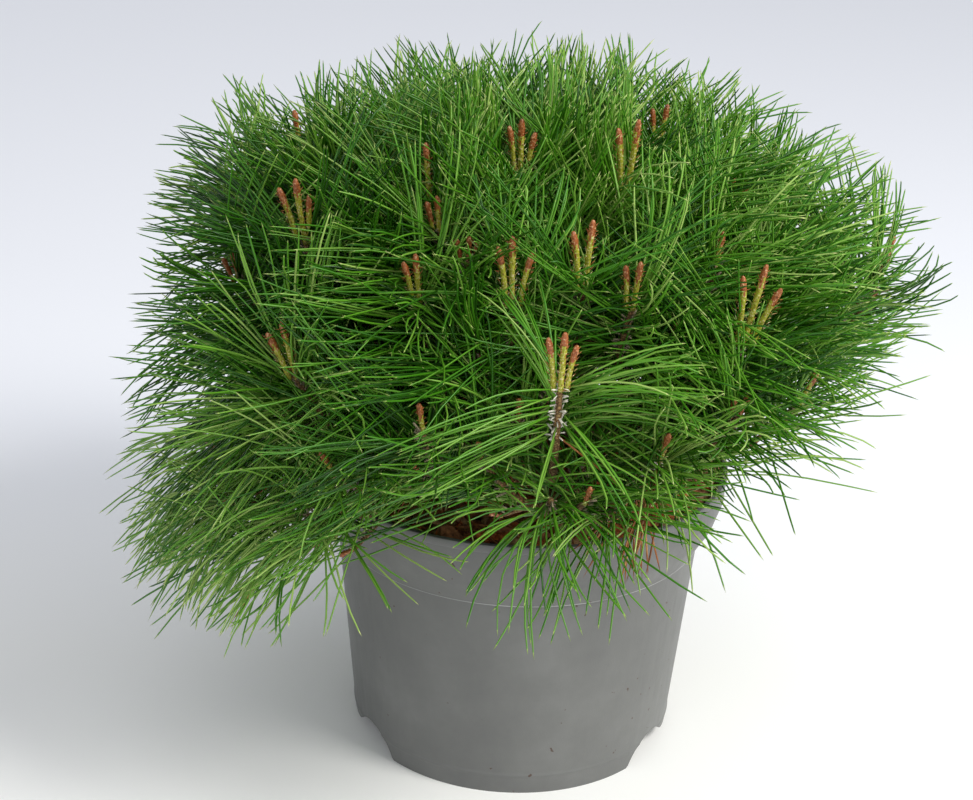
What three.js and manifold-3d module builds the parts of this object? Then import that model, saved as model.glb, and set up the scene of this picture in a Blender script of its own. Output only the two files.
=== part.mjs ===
// A low, dome-shaped pine with long needles in a round grower's pot. Millimetres, +Z up.
// The origin is the centre of the circle that the pot stands on, and -Y is the front.
// Boughs leave the short trunk in three whorls. Each bough ends in one mass of shoots, and
// every mass keeps to its own wedge of the crown, so that neighbours never touch.

import * as THREE from 'three';
import { mergeVertices } from 'three/addons/utils/BufferGeometryUtils.js';
import Module from 'manifold-3d';

const wasm = await Module();
wasm.setup();

// Driving dimensions: the pot
const potHeight = 184;
const potFootRadius = 102;
const potCreaseRadius = 114.6;
const potCreaseHeight = 138;
const potShoulderRadius = 124;
const potShoulderHeight = 153;
const potNeckRadius = 129;
const potNeckHeight = 168;
const potRimRadius = 130;
const potBeadDepth = 5;
const potBeadSlope = 1;
const potWall = 2.5;
const potSides = 36;
const floorHeight = 9;
const floorThickness = 3;
const footRingWidth = 10;

// Each side of the pot's foot has an arched recess, which rises beside the front and the back foot
// and comes down to a lip between them
const recessHeight = 17.5;
const recessFootHalfWidth = 70;
const recessCornerHalfWidth = 65;
const recessTopHalfWidth = 52;
const recessBendHalfWidth = 42;
const lipBendHalfWidth = 38;
const lipHalfWidth = 28;
const lipHeight = 7;
const recessCurveSteps = 4;
const wellRadius = 96;

// A cutting solid reaches this far past the face that it cuts
const cutMargin = 1;

// The root ball fills the pot up to a little under its rim, and is highest at the trunk
const soilEdgeHeight = 170;
const soilMoundHeight = 174;
const soilMoundRadius = 42;

// Trunk
const trunkTopHeight = 266;
const trunkRadius = 13;
const trunkTopRadius = 9;
const trunkFlare = 9;
const trunkFlareLength = 12;
const trunkLeanX = 7;
const trunkLeanY = -5;
const trunkSides = 10;
const trunkSteps = 7;

// Pieces that touch on the real plant stay this far apart
const clearance = 0.3;

// The crown is the space inside a rounded dome with its widest line at this height
const crownCentre = new THREE.Vector3(0, 0, 250);
const crownReachX = 257;
const crownReachY = 251;
const crownRise = 192;
const crownDrop = 130;
const crownDropToTheLeft = 26;
const domeRoundness = 2.5;
const skirtRoundness = 4;

// Shoot tips are spread evenly over a shell that lies this far inside the dome
const shootCount = 84;
const firstShootAzimuth = 180;
const shootShellDepth = 70;
const lowestShootAngle = 105;
const goldenAngle = 180 * (3 - Math.sqrt(5));
const sagToTheLeft = 24;
const sagBelow = 0.35;

// Each whorl of boughs: where they leave the trunk, where they end and which way they look
const whorls = [
  {
    name: 'low', count: 7, firstAzimuth: -84, elevation: -4,
    startHeight: 192, heightStep: 4.3, heightOrder: 3, heightCycle: 7, startOffset: 3,
    endRadius: 112, endHeight: 222, rise: 0.62, rootRadius: 5.6, tipRadius: 4.2,
  },
  {
    name: 'middle', count: 6, firstAzimuth: -58, elevation: 30,
    startHeight: 230, heightStep: 12, heightOrder: 1, heightCycle: 2, startOffset: 3,
    endRadius: 88, endHeight: 293, rise: 0.3, rootRadius: 5.0, tipRadius: 4.0,
  },
  {
    name: 'top', count: 3, firstAzimuth: -58, elevation: 66,
    startHeight: 256, heightStep: 0, heightOrder: 1, heightCycle: 1, startOffset: 7,
    endRadius: 27, endHeight: 309, rise: 0.5, rootRadius: 4.6, tipRadius: 3.8,
  },
];
const boughSides = 6;
const boughSteps = 4;
const boughCollar = 1.6;
const boughCollarFade = 8;
const stemLength = 16;
const stemSides = 5;
const stemSteps = 1;
const knotSunk = 3;

// Twigs are bare up to the core of their spray, which they enter from below
const twigSides = 3;
const twigSteps = 2;
const twigRadius = 2.8;
const twigSunk = 5;
const twigEase = 0.28;
const uprightShares = [0.42, 0.3, 0.18, 0.06];
const tipMargin = 4;
const pullStep = 0.08;
const budLength = 34;
const budRadius = 3;
const budTipShare = 0.3;
const budSunk = 3;
const budSteps = 2;
const budEvery = 3;

// A spray is a slim core with rings of needles. Each stands for a few real ones, so its
// root is as wide as one face of the core, and it runs out to a point.
const coreLength = 36;
const coreSides = 5;
const coreRings = 4;
const coreFootRadius = 6.2;
const coreTipRadius = 4.2;
const needleLength = 96;
const needleShortest = 66;
const needleLengthRange = [0.9, 1.02];
const needleShrink = 0.92;
const needleAngleAtTip = 24;
const needleAngleAtFoot = 74;
const needleAngleSpread = 8;
const needleAngleShares = [1, 0.8, 1.2, 0.6];
const needleDroop = 0.62;
const needleDroopLimit = 1.3;
const needleHalfWidth = 3.4;
const needleLeastRise = 0.22;
const sunkLength = 12;
const needleGap = 0.6;
const needleTightness = 0.85;

// A needle or twig passes the pot no closer than this, tested at this many places
const potClearance = 1;
const potSamples = 24;

const seed = 20260;

// Seeded random numbers between 0 and 1
function seededRandom(start) {
  let state = start;
  return () => {
    state = (state + 0x6d2b79f5) | 0;
    let mixed = Math.imul(state ^ (state >>> 15), 1 | state);
    mixed = (mixed + Math.imul(mixed ^ (mixed >>> 7), 61 | mixed)) ^ mixed;
    return ((mixed ^ (mixed >>> 14)) >>> 0) / 4294967296;
  };
}

function radians(degrees) {
  return THREE.MathUtils.degToRad(degrees);
}

// The unit vector at an azimuth from +X and an elevation over the horizon
function direction(azimuth, elevation) {
  const flat = Math.cos(elevation);
  return new THREE.Vector3(flat * Math.cos(azimuth), flat * Math.sin(azimuth), Math.sin(elevation));
}

// A closed three.js geometry as a solid that can be joined and cut
function solidOf(geometry) {
  geometry.deleteAttribute('normal');
  geometry.deleteAttribute('uv');
  const merged = mergeVertices(geometry, 1e-4);
  const index = merged.index.array;
  const corners = [];
  for (let i = 0; i < index.length; i += 3) {
    const [a, b, c] = [index[i], index[i + 1], index[i + 2]];
    if (a !== b && b !== c && c !== a) {
      corners.push(a, b, c);
    }
  }
  return new wasm.Manifold(new wasm.Mesh({
    numProp: 3,
    vertProperties: new Float32Array(merged.attributes.position.array),
    triVerts: new Uint32Array(corners),
  }));
}

function geometryOf(solid) {
  const mesh = solid.getMesh();
  const geometry = new THREE.BufferGeometry();
  geometry.setAttribute('position', new THREE.BufferAttribute(mesh.vertProperties, 3));
  geometry.setIndex(new THREE.BufferAttribute(mesh.triVerts, 1));
  geometry.computeVertexNormals();
  return geometry;
}

// A solid turned round the Z axis from [radius, height] corners, listed from the foot up
function turned(corners, sides) {
  const profile = corners.map(([radius, height]) => new THREE.Vector2(radius, height));
  return solidOf(new THREE.LatheGeometry(profile, sides).rotateX(Math.PI / 2));
}

// A limb is a closed cylinder whose rings are moved onto a curve and given their radius
function limb(curve, radiusAt, sides, steps) {
  const geometry = new THREE.CylinderGeometry(1, 1, 1, sides, steps);
  const frames = curve.computeFrenetFrames(steps, false);
  const position = geometry.attributes.position;
  for (let i = 0; i < position.count; i += 1) {
    const ring = Math.round((position.getY(i) + 0.5) * steps);
    const radius = radiusAt(ring / steps);
    const point = curve.getPointAt(ring / steps);
    point.addScaledVector(frames.normals[ring], radius * position.getX(i));
    point.addScaledVector(frames.binormals[ring], -radius * position.getZ(i));
    position.setXYZ(i, point.x, point.y, point.z);
  }
  return solidOf(geometry);
}

// Pot: turned in one piece, then recessed at both sides of its foot
function potWallRadius(height) {
  const share = Math.min(height / potCreaseHeight, 1);
  return THREE.MathUtils.lerp(potFootRadius, potCreaseRadius, share);
}

function makePot() {
  const floorTop = floorHeight + floorThickness;
  const ringTop = recessHeight + floorThickness;
  const beadBottom = potHeight - potBeadDepth;
  const solid = turned([
    [0, floorHeight],
    [potFootRadius - footRingWidth, floorHeight],
    [potFootRadius - footRingWidth, 0],
    [potFootRadius, 0],
    [potCreaseRadius, potCreaseHeight],
    [potShoulderRadius, potShoulderHeight],
    [potNeckRadius, potNeckHeight],
    [potNeckRadius, beadBottom],
    [potRimRadius, beadBottom + potBeadSlope],
    [potRimRadius, potHeight],
    [potNeckRadius - potWall, potHeight],
    [potNeckRadius - potWall, potNeckHeight],
    [potShoulderRadius - potWall, potShoulderHeight],
    [potCreaseRadius - potWall, potCreaseHeight],
    [potWallRadius(ringTop) - potWall, ringTop],
    [potFootRadius - footRingWidth, ringTop],
    [potFootRadius - footRingWidth, floorTop],
    [0, floorTop],
  ], potSides);
  return solid.subtract(footRecess(1)).subtract(footRecess(-1));
}

// The space of one recess: its outline drawn in the YZ plane, cut back to the pot's well
function footRecess(side) {
  const arch = new THREE.Shape();
  arch.moveTo(-recessFootHalfWidth, -cutMargin);
  arch.lineTo(recessFootHalfWidth, -cutMargin);
  arch.quadraticCurveTo(recessCornerHalfWidth, recessHeight, recessTopHalfWidth, recessHeight);
  arch.bezierCurveTo(recessBendHalfWidth, recessHeight, lipBendHalfWidth, lipHeight, lipHalfWidth, lipHeight);
  arch.lineTo(-lipHalfWidth, lipHeight);
  arch.bezierCurveTo(-lipBendHalfWidth, lipHeight, -recessBendHalfWidth, recessHeight, -recessTopHalfWidth, recessHeight);
  arch.quadraticCurveTo(-recessCornerHalfWidth, recessHeight, -recessFootHalfWidth, -cutMargin);
  const block = new THREE.ExtrudeGeometry(arch, {
    depth: potCreaseRadius,
    bevelEnabled: false,
    curveSegments: recessCurveSteps,
  });
  block.rotateX(Math.PI / 2);
  block.rotateZ(Math.PI / 2);
  if (side < 0) {
    block.rotateZ(Math.PI);
  }
  const well = turned([
    [0, floorHeight],
    [wellRadius, floorHeight],
    [wellRadius, recessHeight + cutMargin],
    [0, recessHeight + cutMargin],
  ], potSides);
  return solidOf(block).subtract(well);
}

// Soil: it follows the inside of the pot, a clearance away, and its top is a low mound
function makeSoil() {
  const ringTop = recessHeight + floorThickness;
  const inside = potWall + clearance;
  return turned([
    [0, floorHeight + floorThickness + clearance],
    [potFootRadius - footRingWidth - clearance, floorHeight + floorThickness + clearance],
    [potFootRadius - footRingWidth - clearance, ringTop + clearance],
    [potWallRadius(ringTop) - inside, ringTop + clearance],
    [potCreaseRadius - inside, potCreaseHeight],
    [potShoulderRadius - inside, potShoulderHeight],
    [potNeckRadius - inside, potNeckHeight],
    [potNeckRadius - inside, soilEdgeHeight],
    [soilMoundRadius, soilMoundHeight],
    [0, soilMoundHeight],
  ], potSides);
}

// Trunk: upright where it leaves the soil, then leaning a little to the front right
class TrunkAxis extends THREE.Curve {
  constructor(bottom, top) {
    super();
    this.bottom = bottom;
    this.top = top;
  }

  getPoint(share) {
    return trunkPoint(THREE.MathUtils.lerp(this.bottom, this.top, share));
  }
}

const trunkFoot = soilMoundHeight + clearance;

function trunkPoint(height) {
  const share = (height - trunkFoot) / (trunkTopHeight - trunkFoot);
  return new THREE.Vector3(trunkLeanX * share * share, trunkLeanY * share * share, height);
}

function trunkRadiusAt(height) {
  const share = (height - trunkFoot) / (trunkTopHeight - trunkFoot);
  const flare = trunkFlare * Math.exp((trunkFoot - height) / trunkFlareLength);
  return THREE.MathUtils.lerp(trunkRadius, trunkTopRadius, share) + flare;
}

// The trunk grown outwards by a margin also cuts the seats of the boughs
function makeTrunk(margin) {
  const top = trunkTopHeight + margin;
  const axis = new TrunkAxis(trunkFoot, top);
  const radiusAt = (share) => trunkRadiusAt(THREE.MathUtils.lerp(trunkFoot, top, share)) + margin;
  return limb(axis, radiusAt, trunkSides, trunkSteps);
}

// Boughs: every one runs from the trunk to the place where its mass of shoots begins
function boughCurve(whorl, place) {
  const azimuth = radians(whorl.firstAzimuth + (place * 360) / whorl.count);
  const outward = direction(azimuth, 0);
  const order = (place * whorl.heightOrder) % whorl.heightCycle;
  const start = trunkPoint(whorl.startHeight + order * whorl.heightStep);
  start.addScaledVector(outward, whorl.startOffset);
  const end = outward.clone().multiplyScalar(whorl.endRadius).setZ(whorl.endHeight);
  const bend = new THREE.Vector3().lerpVectors(start, end, 0.5);
  bend.z = THREE.MathUtils.lerp(start.z, end.z, whorl.rise);
  return new THREE.QuadraticBezierCurve3(start, bend, end);
}

function boughRadius(whorl, share) {
  const taper = THREE.MathUtils.lerp(whorl.rootRadius, whorl.tipRadius, share);
  return taper + boughCollar * Math.exp(-boughCollarFade * share);
}

// All boughs and the site of each one's mass, which is the middle of its wedge
function planBoughs() {
  const boughs = [];
  for (const whorl of whorls) {
    for (let place = 0; place < whorl.count; place += 1) {
      const azimuth = radians(whorl.firstAzimuth + (place * 360) / whorl.count);
      boughs.push({
        label: `${whorl.name}_${place + 1}`,
        whorl,
        curve: boughCurve(whorl, place),
        site: direction(azimuth, radians(whorl.elevation)),
      });
    }
  }
  return boughs;
}

// How far the crown reaches from its centre in a direction. It hangs lower on the left.
function crownReach(toward) {
  const flat = Math.hypot(toward.x, toward.y);
  const left = flat > 0 ? -toward.x / flat : 0;
  const drop = crownDrop + crownDropToTheLeft * left;
  const wide = Math.hypot(toward.x / crownReachX, toward.y / crownReachY);
  const high = Math.abs(toward.z) / (toward.z > 0 ? crownRise : drop);
  const roundness = toward.z > 0 ? domeRoundness : skirtRoundness;
  return (wide ** roundness + high ** roundness) ** (-1 / roundness);
}

function insideCrown(point) {
  const offset = point.clone().sub(crownCentre);
  const distance = offset.length();
  return distance <= crownReach(offset.divideScalar(distance));
}

// Where the shoots end, spread by the golden angle from the top of the crown to its skirt
function planShoots() {
  const shoots = [];
  const lowest = Math.cos(radians(lowestShootAngle));
  for (let i = 0; i < shootCount; i += 1) {
    const sine = 1 - ((i + 0.5) / shootCount) * (1 - lowest);
    const azimuth = radians(firstShootAzimuth + i * goldenAngle);
    const toward = direction(azimuth, Math.asin(sine));
    const tip = toward.clone().multiplyScalar(crownReach(toward) - shootShellDepth).add(crownCentre);
    const lowness = Math.max(sagBelow - sine, 0);
    tip.z -= sagToTheLeft * lowness * (1 - toward.x);
    shoots.push({ toward, tip, lowness });
  }
  return shoots;
}

// The shortest distance between two straight stretches, each given by its two ends
function distanceBetween(a, b, c, d) {
  const first = b.clone().sub(a);
  const second = d.clone().sub(c);
  const between = a.clone().sub(c);
  const firstSquare = first.dot(first);
  const secondSquare = second.dot(second);
  const cross = first.dot(second);
  const firstPart = first.dot(between);
  const secondPart = second.dot(between);
  const denominator = firstSquare * secondSquare - cross * cross;
  let s = 0;
  if (denominator > 1e-9) {
    s = THREE.MathUtils.clamp((cross * secondPart - secondSquare * firstPart) / denominator, 0, 1);
  }
  const t = THREE.MathUtils.clamp((cross * s + secondPart) / secondSquare, 0, 1);
  s = THREE.MathUtils.clamp((cross * t - firstPart) / firstSquare, 0, 1);
  const onFirst = a.clone().addScaledVector(first, s);
  const onSecond = c.clone().addScaledVector(second, t);
  return { distance: onFirst.distanceTo(onSecond), along: s, alongOther: t };
}

// A limb as straight stretches with a radius each, for the tests of what would touch it
function stretchesOf(curve, radiusAt, steps) {
  const points = curve.getSpacedPoints(steps);
  const stretches = [];
  for (let i = 0; i < steps; i += 1) {
    const radius = Math.max(radiusAt(i / steps), radiusAt((i + 1) / steps));
    stretches.push({ from: points[i], to: points[i + 1], radius });
  }
  return stretches;
}

// A wedge of the crown: every point in it is nearer to its own site than to any other
function insideWedge(point, site, sites, margin) {
  const offset = point.clone().sub(crownCentre);
  for (const other of sites) {
    if (other !== site) {
      const across = other.clone().sub(site).normalize();
      if (offset.dot(across) > -margin) {
        return false;
      }
    }
  }
  return true;
}

function touchesPot(from, to, radius) {
  const margin = radius + potClearance;
  for (let i = 0; i <= potSamples; i += 1) {
    const point = new THREE.Vector3().lerpVectors(from, to, i / potSamples);
    const overPot = Math.hypot(point.x, point.y) < potRimRadius + margin;
    if (overPot && point.z < potHeight + margin) {
      return true;
    }
  }
  return false;
}

// True when a straight tapering piece stays in its wedge and touches nothing on its way
function isFree(from, to, radius, space) {
  if (!insideCrown(to) || touchesPot(from, to, radius)) {
    return false;
  }
  if (!insideWedge(from, space.site, space.sites, radius + needleGap)) {
    return false;
  }
  if (!insideWedge(to, space.site, space.sites, needleGap)) {
    return false;
  }
  return space.stretches.every((stretch) => {
    const near = distanceBetween(from, to, stretch.from, stretch.to);
    return near.distance > stretch.radius + radius * (1 - near.along) + needleGap;
  });
}

// Twigs from the end of the stem to every shoot tip of the wedge. One that would leave the
// wedge on its way is tried with less of an upward turn, and left out if that fails too.
function growTwigs(knot, heading, shoots, space) {
  const twigs = [];
  for (const shoot of shoots) {
    const tip = pulledIntoWedge(shoot.tip, space);
    const tries = uprightShares.map((share) => bendTwig(knot, heading, tip, shoot, share));
    const chosen = tries.find((twig) => {
      return twig.stretches.slice(1).every((part) => isFree(part.from, part.to, part.radius, space));
    });
    if (chosen) {
      twigs.push(chosen);
    }
  }
  return twigs;
}

function bendTwig(knot, heading, tip, shoot, uprightShare) {
  const axis = shoot.toward.clone().multiplyScalar(1 - uprightShare);
  axis.z += uprightShare;
  axis.normalize();
  const coreFoot = tip.clone().addScaledVector(axis, -coreLength);
  const end = coreFoot.clone().addScaledVector(axis, twigSunk);
  const span = end.distanceTo(knot);
  const leave = knot.clone().addScaledVector(heading, span * twigEase);
  const arrive = end.clone().addScaledVector(axis, -span * twigEase);
  const curve = new THREE.CubicBezierCurve3(knot, leave, arrive, end);
  const stretches = stretchesOf(curve, () => twigRadius, twigSteps);
  stretches.push({ from: coreFoot, to: tip, radius: coreFootRadius });
  return { shoot, axis, curve, coreFoot, tip, stretches };
}

function pulledIntoWedge(start, space) {
  let tip = start;
  while (!insideWedge(tip, space.site, space.sites, coreFootRadius + tipMargin)) {
    tip = tip.clone().lerp(space.middle, pullStep);
  }
  return tip;
}

// The corners of a core: rings of corners from its foot to its tip, each turned by half a
// side from the last one, so that the needles of one ring stand between those of the next
function coreCorners(twig) {
  const { axis } = twig;
  const sideways = new THREE.Vector3(axis.y, -axis.x, 0).normalize();
  const upwards = new THREE.Vector3().crossVectors(axis, sideways);
  const rings = [];
  for (let ring = 0; ring <= coreRings; ring += 1) {
    const share = ring / coreRings;
    const radius = THREE.MathUtils.lerp(coreFootRadius, coreTipRadius, share);
    const centre = twig.coreFoot.clone().lerp(twig.tip, share);
    const corners = [];
    for (let side = 0; side < coreSides; side += 1) {
      const around = (2 * Math.PI * (side + ring / 2)) / coreSides;
      const corner = centre.clone().addScaledVector(sideways, radius * Math.cos(around));
      corners.push(corner.addScaledVector(upwards, radius * Math.sin(around)));
    }
    rings.push(corners);
  }
  return rings;
}

// A spray: every face between two rings is raised to the tip of its needle where one fits
function makeSpray(twig, random, space) {
  const rings = coreCorners(twig);
  const corners = [twig.coreFoot, twig.tip, ...rings.flat()];
  const faces = [];
  const cornerIndex = (ring, side) => 2 + ring * coreSides + (side % coreSides);
  for (let side = 0; side < coreSides; side += 1) {
    faces.push([0, cornerIndex(0, side + 1), cornerIndex(0, side)]);
    faces.push([1, cornerIndex(coreRings, side), cornerIndex(coreRings, side + 1)]);
  }
  for (let ring = coreRings - 1; ring >= 0; ring -= 1) {
    for (let side = 0; side < coreSides; side += 1) {
      const low = cornerIndex(ring, side);
      const lowNext = cornerIndex(ring, side + 1);
      const high = cornerIndex(ring + 1, side);
      const highBefore = cornerIndex(ring + 1, side + coreSides - 1);
      faces.push([low, high, highBefore]);
      const base = [low, lowNext, high];
      const tip = growNeedle(base.map((index) => corners[index]), ring, twig, random, space);
      if (tip) {
        const tipIndex = corners.push(tip) - 1;
        base.forEach((index, i) => faces.push([index, base[(i + 1) % 3], tipIndex]));
      } else {
        faces.push(base);
      }
    }
  }
  const geometry = new THREE.BufferGeometry().setFromPoints(corners);
  geometry.setIndex(faces.flat());
  return solidOf(geometry);
}

// A needle that would leave its space or touch something is tried closer to its shoot, then
// further from it, then shorter, and is left out where none of these is free
function growNeedle(base, ring, twig, random, space) {
  const root = new THREE.Vector3().add(base[0]).add(base[1]).add(base[2]).divideScalar(3);
  const normal = new THREE.Triangle(...base).getNormal(new THREE.Vector3());
  const share = (ring + 0.5) / coreRings;
  const baseSpread = THREE.MathUtils.lerp(needleAngleAtFoot, needleAngleAtTip, share);
  const spread = baseSpread + needleAngleSpread * random();
  const length = needleLength * THREE.MathUtils.lerp(...needleLengthRange, random());
  for (const angleShare of needleAngleShares) {
    const angle = radians(spread * angleShare);
    const heading = twig.axis.clone().multiplyScalar(Math.cos(angle));
    heading.addScaledVector(normal, Math.sin(angle));
    heading.z -= needleDroop * twig.shoot.lowness * (needleDroopLimit - heading.z);
    heading.normalize();
    const rise = Math.max(needleLeastRise - heading.dot(normal), 0);
    heading.addScaledVector(normal, rise).normalize();
    for (let size = length; size >= needleShortest; size *= needleShrink) {
      const tip = root.clone().addScaledVector(heading, size);
      const free = root.clone().addScaledVector(heading, sunkLength);
      const needle = { twig, root, from: free, to: tip };
      if (isFree(free, tip, needleHalfWidth, space) && clearOfNeedles(needle, space)) {
        space.needles.push(needle);
        return tip;
      }
    }
  }
  return null;
}

// Needles of one spray meet at their roots, and elsewhere a needle keeps clear of all others
function clearOfNeedles(needle, space) {
  return space.needles.every((other) => {
    const sameSpray = other.twig === needle.twig;
    const from = sameSpray ? needle.from : needle.root;
    const near = distanceBetween(from, needle.to, sameSpray ? other.from : other.root, other.to);
    const widths = needleHalfWidth * (2 - near.along - near.alongOther);
    return near.distance > widths * needleTightness;
  });
}

// The new shoot of the year stands up from the tip of a twig
function growBud(twig) {
  const upright = twig.axis.clone();
  upright.z += 1;
  upright.normalize();
  const foot = twig.tip.clone().addScaledVector(twig.axis, -budSunk);
  const top = foot.clone().addScaledVector(upright, budLength + budSunk);
  const radiusAt = (share) => (share < 1 ? budRadius : budRadius * budTipShare);
  return {
    solid: limb(new THREE.LineCurve3(foot, top), radiusAt, twigSides, budSteps),
    stretch: { twig, root: twig.tip, from: twig.tip, to: top },
  };
}

// One mass: its stem continues the bough, and every twig, bud and needle is joined to it
function makeMass(bough, number, shoots, space) {
  const random = seededRandom(seed + number);
  const heading = bough.curve.getTangentAt(1);
  const end = bough.curve.getPointAt(1);
  const foot = end.clone().addScaledVector(heading, clearance);
  const knot = foot.clone().addScaledVector(heading, stemLength);
  const stemTip = bough.whorl.tipRadius;
  let solid = limb(new THREE.LineCurve3(foot, knot), () => stemTip, stemSides, stemSteps);
  const sunkKnot = knot.clone().addScaledVector(heading, -knotSunk);
  const twigs = growTwigs(sunkKnot, heading, shoots, space);
  for (const twig of twigs) {
    solid = solid.add(limb(twig.curve, () => twigRadius, twigSides, twigSteps));
  }
  for (let i = 0; i < twigs.length; i += budEvery) {
    const bud = growBud(twigs[i]);
    if (isFree(bud.stretch.from, bud.stretch.to, budRadius, space)) {
      solid = solid.add(bud.solid);
      space.needles.push(bud.stretch);
    }
  }
  for (const twig of twigs) {
    const others = twigs.filter((other) => other !== twig).flatMap((other) => other.stretches);
    const around = { ...space, stretches: space.stretches.concat(others) };
    solid = solid.add(makeSpray(twig, random, around));
  }
  return solid;
}

// Materials
const materials = {
  pot: new THREE.MeshStandardMaterial({ color: 0x6e7174, roughness: 0.55, metalness: 0 }),
  soil: new THREE.MeshStandardMaterial({ color: 0x4a3324, roughness: 0.95, metalness: 0 }),
  bark: new THREE.MeshStandardMaterial({ color: 0x6b4c33, roughness: 0.9, metalness: 0 }),
  needles: new THREE.MeshStandardMaterial({ color: 0x4f8a2b, roughness: 0.5, metalness: 0 }),
};

const plant = new THREE.Group();

function addPiece(name, solid, material) {
  const mesh = new THREE.Mesh(geometryOf(solid), material);
  mesh.name = name;
  plant.add(mesh);
}

// The assembly
const boughs = planBoughs();
const shoots = planShoots();
const sites = boughs.map((bough) => bough.site);
const seatCutter = makeTrunk(clearance);

addPiece('pot', makePot(), materials.pot);
addPiece('soil', makeSoil(), materials.soil);
addPiece('trunk', makeTrunk(0), materials.bark);

const limbStretches = stretchesOf(
  new TrunkAxis(trunkFoot, trunkTopHeight),
  (share) => trunkRadiusAt(THREE.MathUtils.lerp(trunkFoot, trunkTopHeight, share)),
  trunkSteps,
);
for (const bough of boughs) {
  const radiusAt = (share) => boughRadius(bough.whorl, share);
  const solid = limb(bough.curve, radiusAt, boughSides, boughSteps).subtract(seatCutter);
  addPiece(`bough_${bough.label}`, solid, materials.bark);
  limbStretches.push(...stretchesOf(bough.curve, radiusAt, boughSteps));
}

boughs.forEach((bough, number) => {
  const own = shoots.filter((shoot) => {
    const nearest = Math.max(...sites.map((site) => site.dot(shoot.toward)));
    return bough.site.dot(shoot.toward) === nearest;
  });
  const space = {
    site: bough.site,
    sites,
    middle: crownCentre.clone().addScaledVector(bough.site, crownReach(bough.site) - shootShellDepth),
    stretches: limbStretches,
    needles: [],
  };
  addPiece(`needles_${bough.label}`, makeMass(bough, number, own, space), materials.needles);
});

export default plant;
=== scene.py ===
import bmesh
import bpy
import numpy as np
from mathutils import Matrix


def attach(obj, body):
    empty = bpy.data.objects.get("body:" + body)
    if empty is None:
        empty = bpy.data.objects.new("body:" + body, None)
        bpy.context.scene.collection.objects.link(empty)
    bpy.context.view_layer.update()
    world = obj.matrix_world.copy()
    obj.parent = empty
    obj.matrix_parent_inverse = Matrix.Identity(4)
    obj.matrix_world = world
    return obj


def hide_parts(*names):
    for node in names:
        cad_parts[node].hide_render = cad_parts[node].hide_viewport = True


# A low, dome-shaped pine with long needles in a round grower's pot, in metres. -Y is the front.
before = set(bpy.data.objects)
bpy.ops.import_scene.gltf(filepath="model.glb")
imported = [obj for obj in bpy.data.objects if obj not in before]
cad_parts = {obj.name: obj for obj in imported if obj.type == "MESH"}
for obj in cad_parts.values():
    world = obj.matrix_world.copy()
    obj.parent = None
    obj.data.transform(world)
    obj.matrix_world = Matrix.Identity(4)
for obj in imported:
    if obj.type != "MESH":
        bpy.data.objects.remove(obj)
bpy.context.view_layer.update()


# Camera: a plain view camera, fitted to known lengths and to the ellipses of the pot's rim, crease
# and foot. It comes first because the shoots that the photograph shows are placed through it.
picture_width = 973
picture_height = 800
focal_length_in_pixels = 1958.2
sensor_width = 36
camera_place = np.array([-0.0226, -1.1237, 0.6920])
camera_pitch = np.radians(22.8)
camera_roll = np.radians(1.95)

looking = np.array([0, np.cos(camera_pitch), -np.sin(camera_pitch)])
level_right = np.array([1.0, 0, 0])
level_up = np.array([0, np.sin(camera_pitch), np.cos(camera_pitch)])
picture_right = level_right * np.cos(camera_roll) + level_up * np.sin(camera_roll)
picture_up = level_up * np.cos(camera_roll) - level_right * np.sin(camera_roll)

camera = bpy.data.objects.new("camera", bpy.data.cameras.new("camera"))
camera.data.sensor_width = sensor_width
camera.data.lens = focal_length_in_pixels / picture_width * sensor_width
camera_axes = np.eye(4)
camera_axes[:3, 0] = picture_right
camera_axes[:3, 1] = picture_up
camera_axes[:3, 2] = -looking
camera_axes[:3, 3] = camera_place
camera.matrix_world = Matrix(camera_axes.tolist())
bpy.context.scene.collection.objects.link(camera)
bpy.context.scene.camera = camera
bpy.context.scene.view_settings.view_transform = "Standard"


def unit(vectors):
    """Each vector divided by its own length."""
    return vectors / np.linalg.norm(vectors, axis=-1, keepdims=True)


def sight_lines(pixels):
    """Unit directions from the camera through picture points.

    Each is looking + right·(x − middle)/f − up·(y − middle)/f."""
    pixels = np.asarray(pixels, float)
    across = (pixels[:, :1] - picture_width / 2) / focal_length_in_pixels
    down = (pixels[:, 1:2] - picture_height / 2) / focal_length_in_pixels
    return unit(looking + across * picture_right - down * picture_up)


# Pot: a round grower's pot, injection moulded in one piece from grey polypropylene. Its collar
# flares over a crease, its rim is a small bead, and its foot is recessed at both sides.
pot_height = 0.184
pot_foot_radius = 0.102
pot_crease_radius = 0.1146
pot_crease_height = 0.138
pot_shoulder_radius = 0.124
pot_shoulder_height = 0.153
pot_neck_radius = 0.129
pot_neck_height = 0.168
pot_rim_radius = 0.130
pot_bead_depth = 0.005
pot_wall = 0.0025
pot_floor_height = 0.009
pot_floor_top = 0.012
pot_ring_inner_radius = 0.092
pot_well_radius = 0.096
pot_ridge_height = 0.013
pot_ridge_depth = 0.0005
pot_ridge_width = 0.0011
pot_ledge = 0.0010
recess_height = 0.0175
recess_foot_half_width = 0.070
recess_corner_half_width = 0.065
recess_top_half_width = 0.052
recess_bend_half_width = 0.042
lip_bend_half_width = 0.038
lip_half_width = 0.028
lip_height = 0.007
arch_steps = 40
pot_columns = 360
pot_middle_hole = 0.0002
pot_inner_step = 0.003
foot_ring_heights = [0, 0.001, 0.004, 0.008, 0.0105, 0.0115, 0.0122, 0.013, 0.0138, 0.0145, 0.0155, 0.0175]
wall_rings = 18
pot_weld = 3e-5
pot_sharp_angle = np.radians(38)


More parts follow.
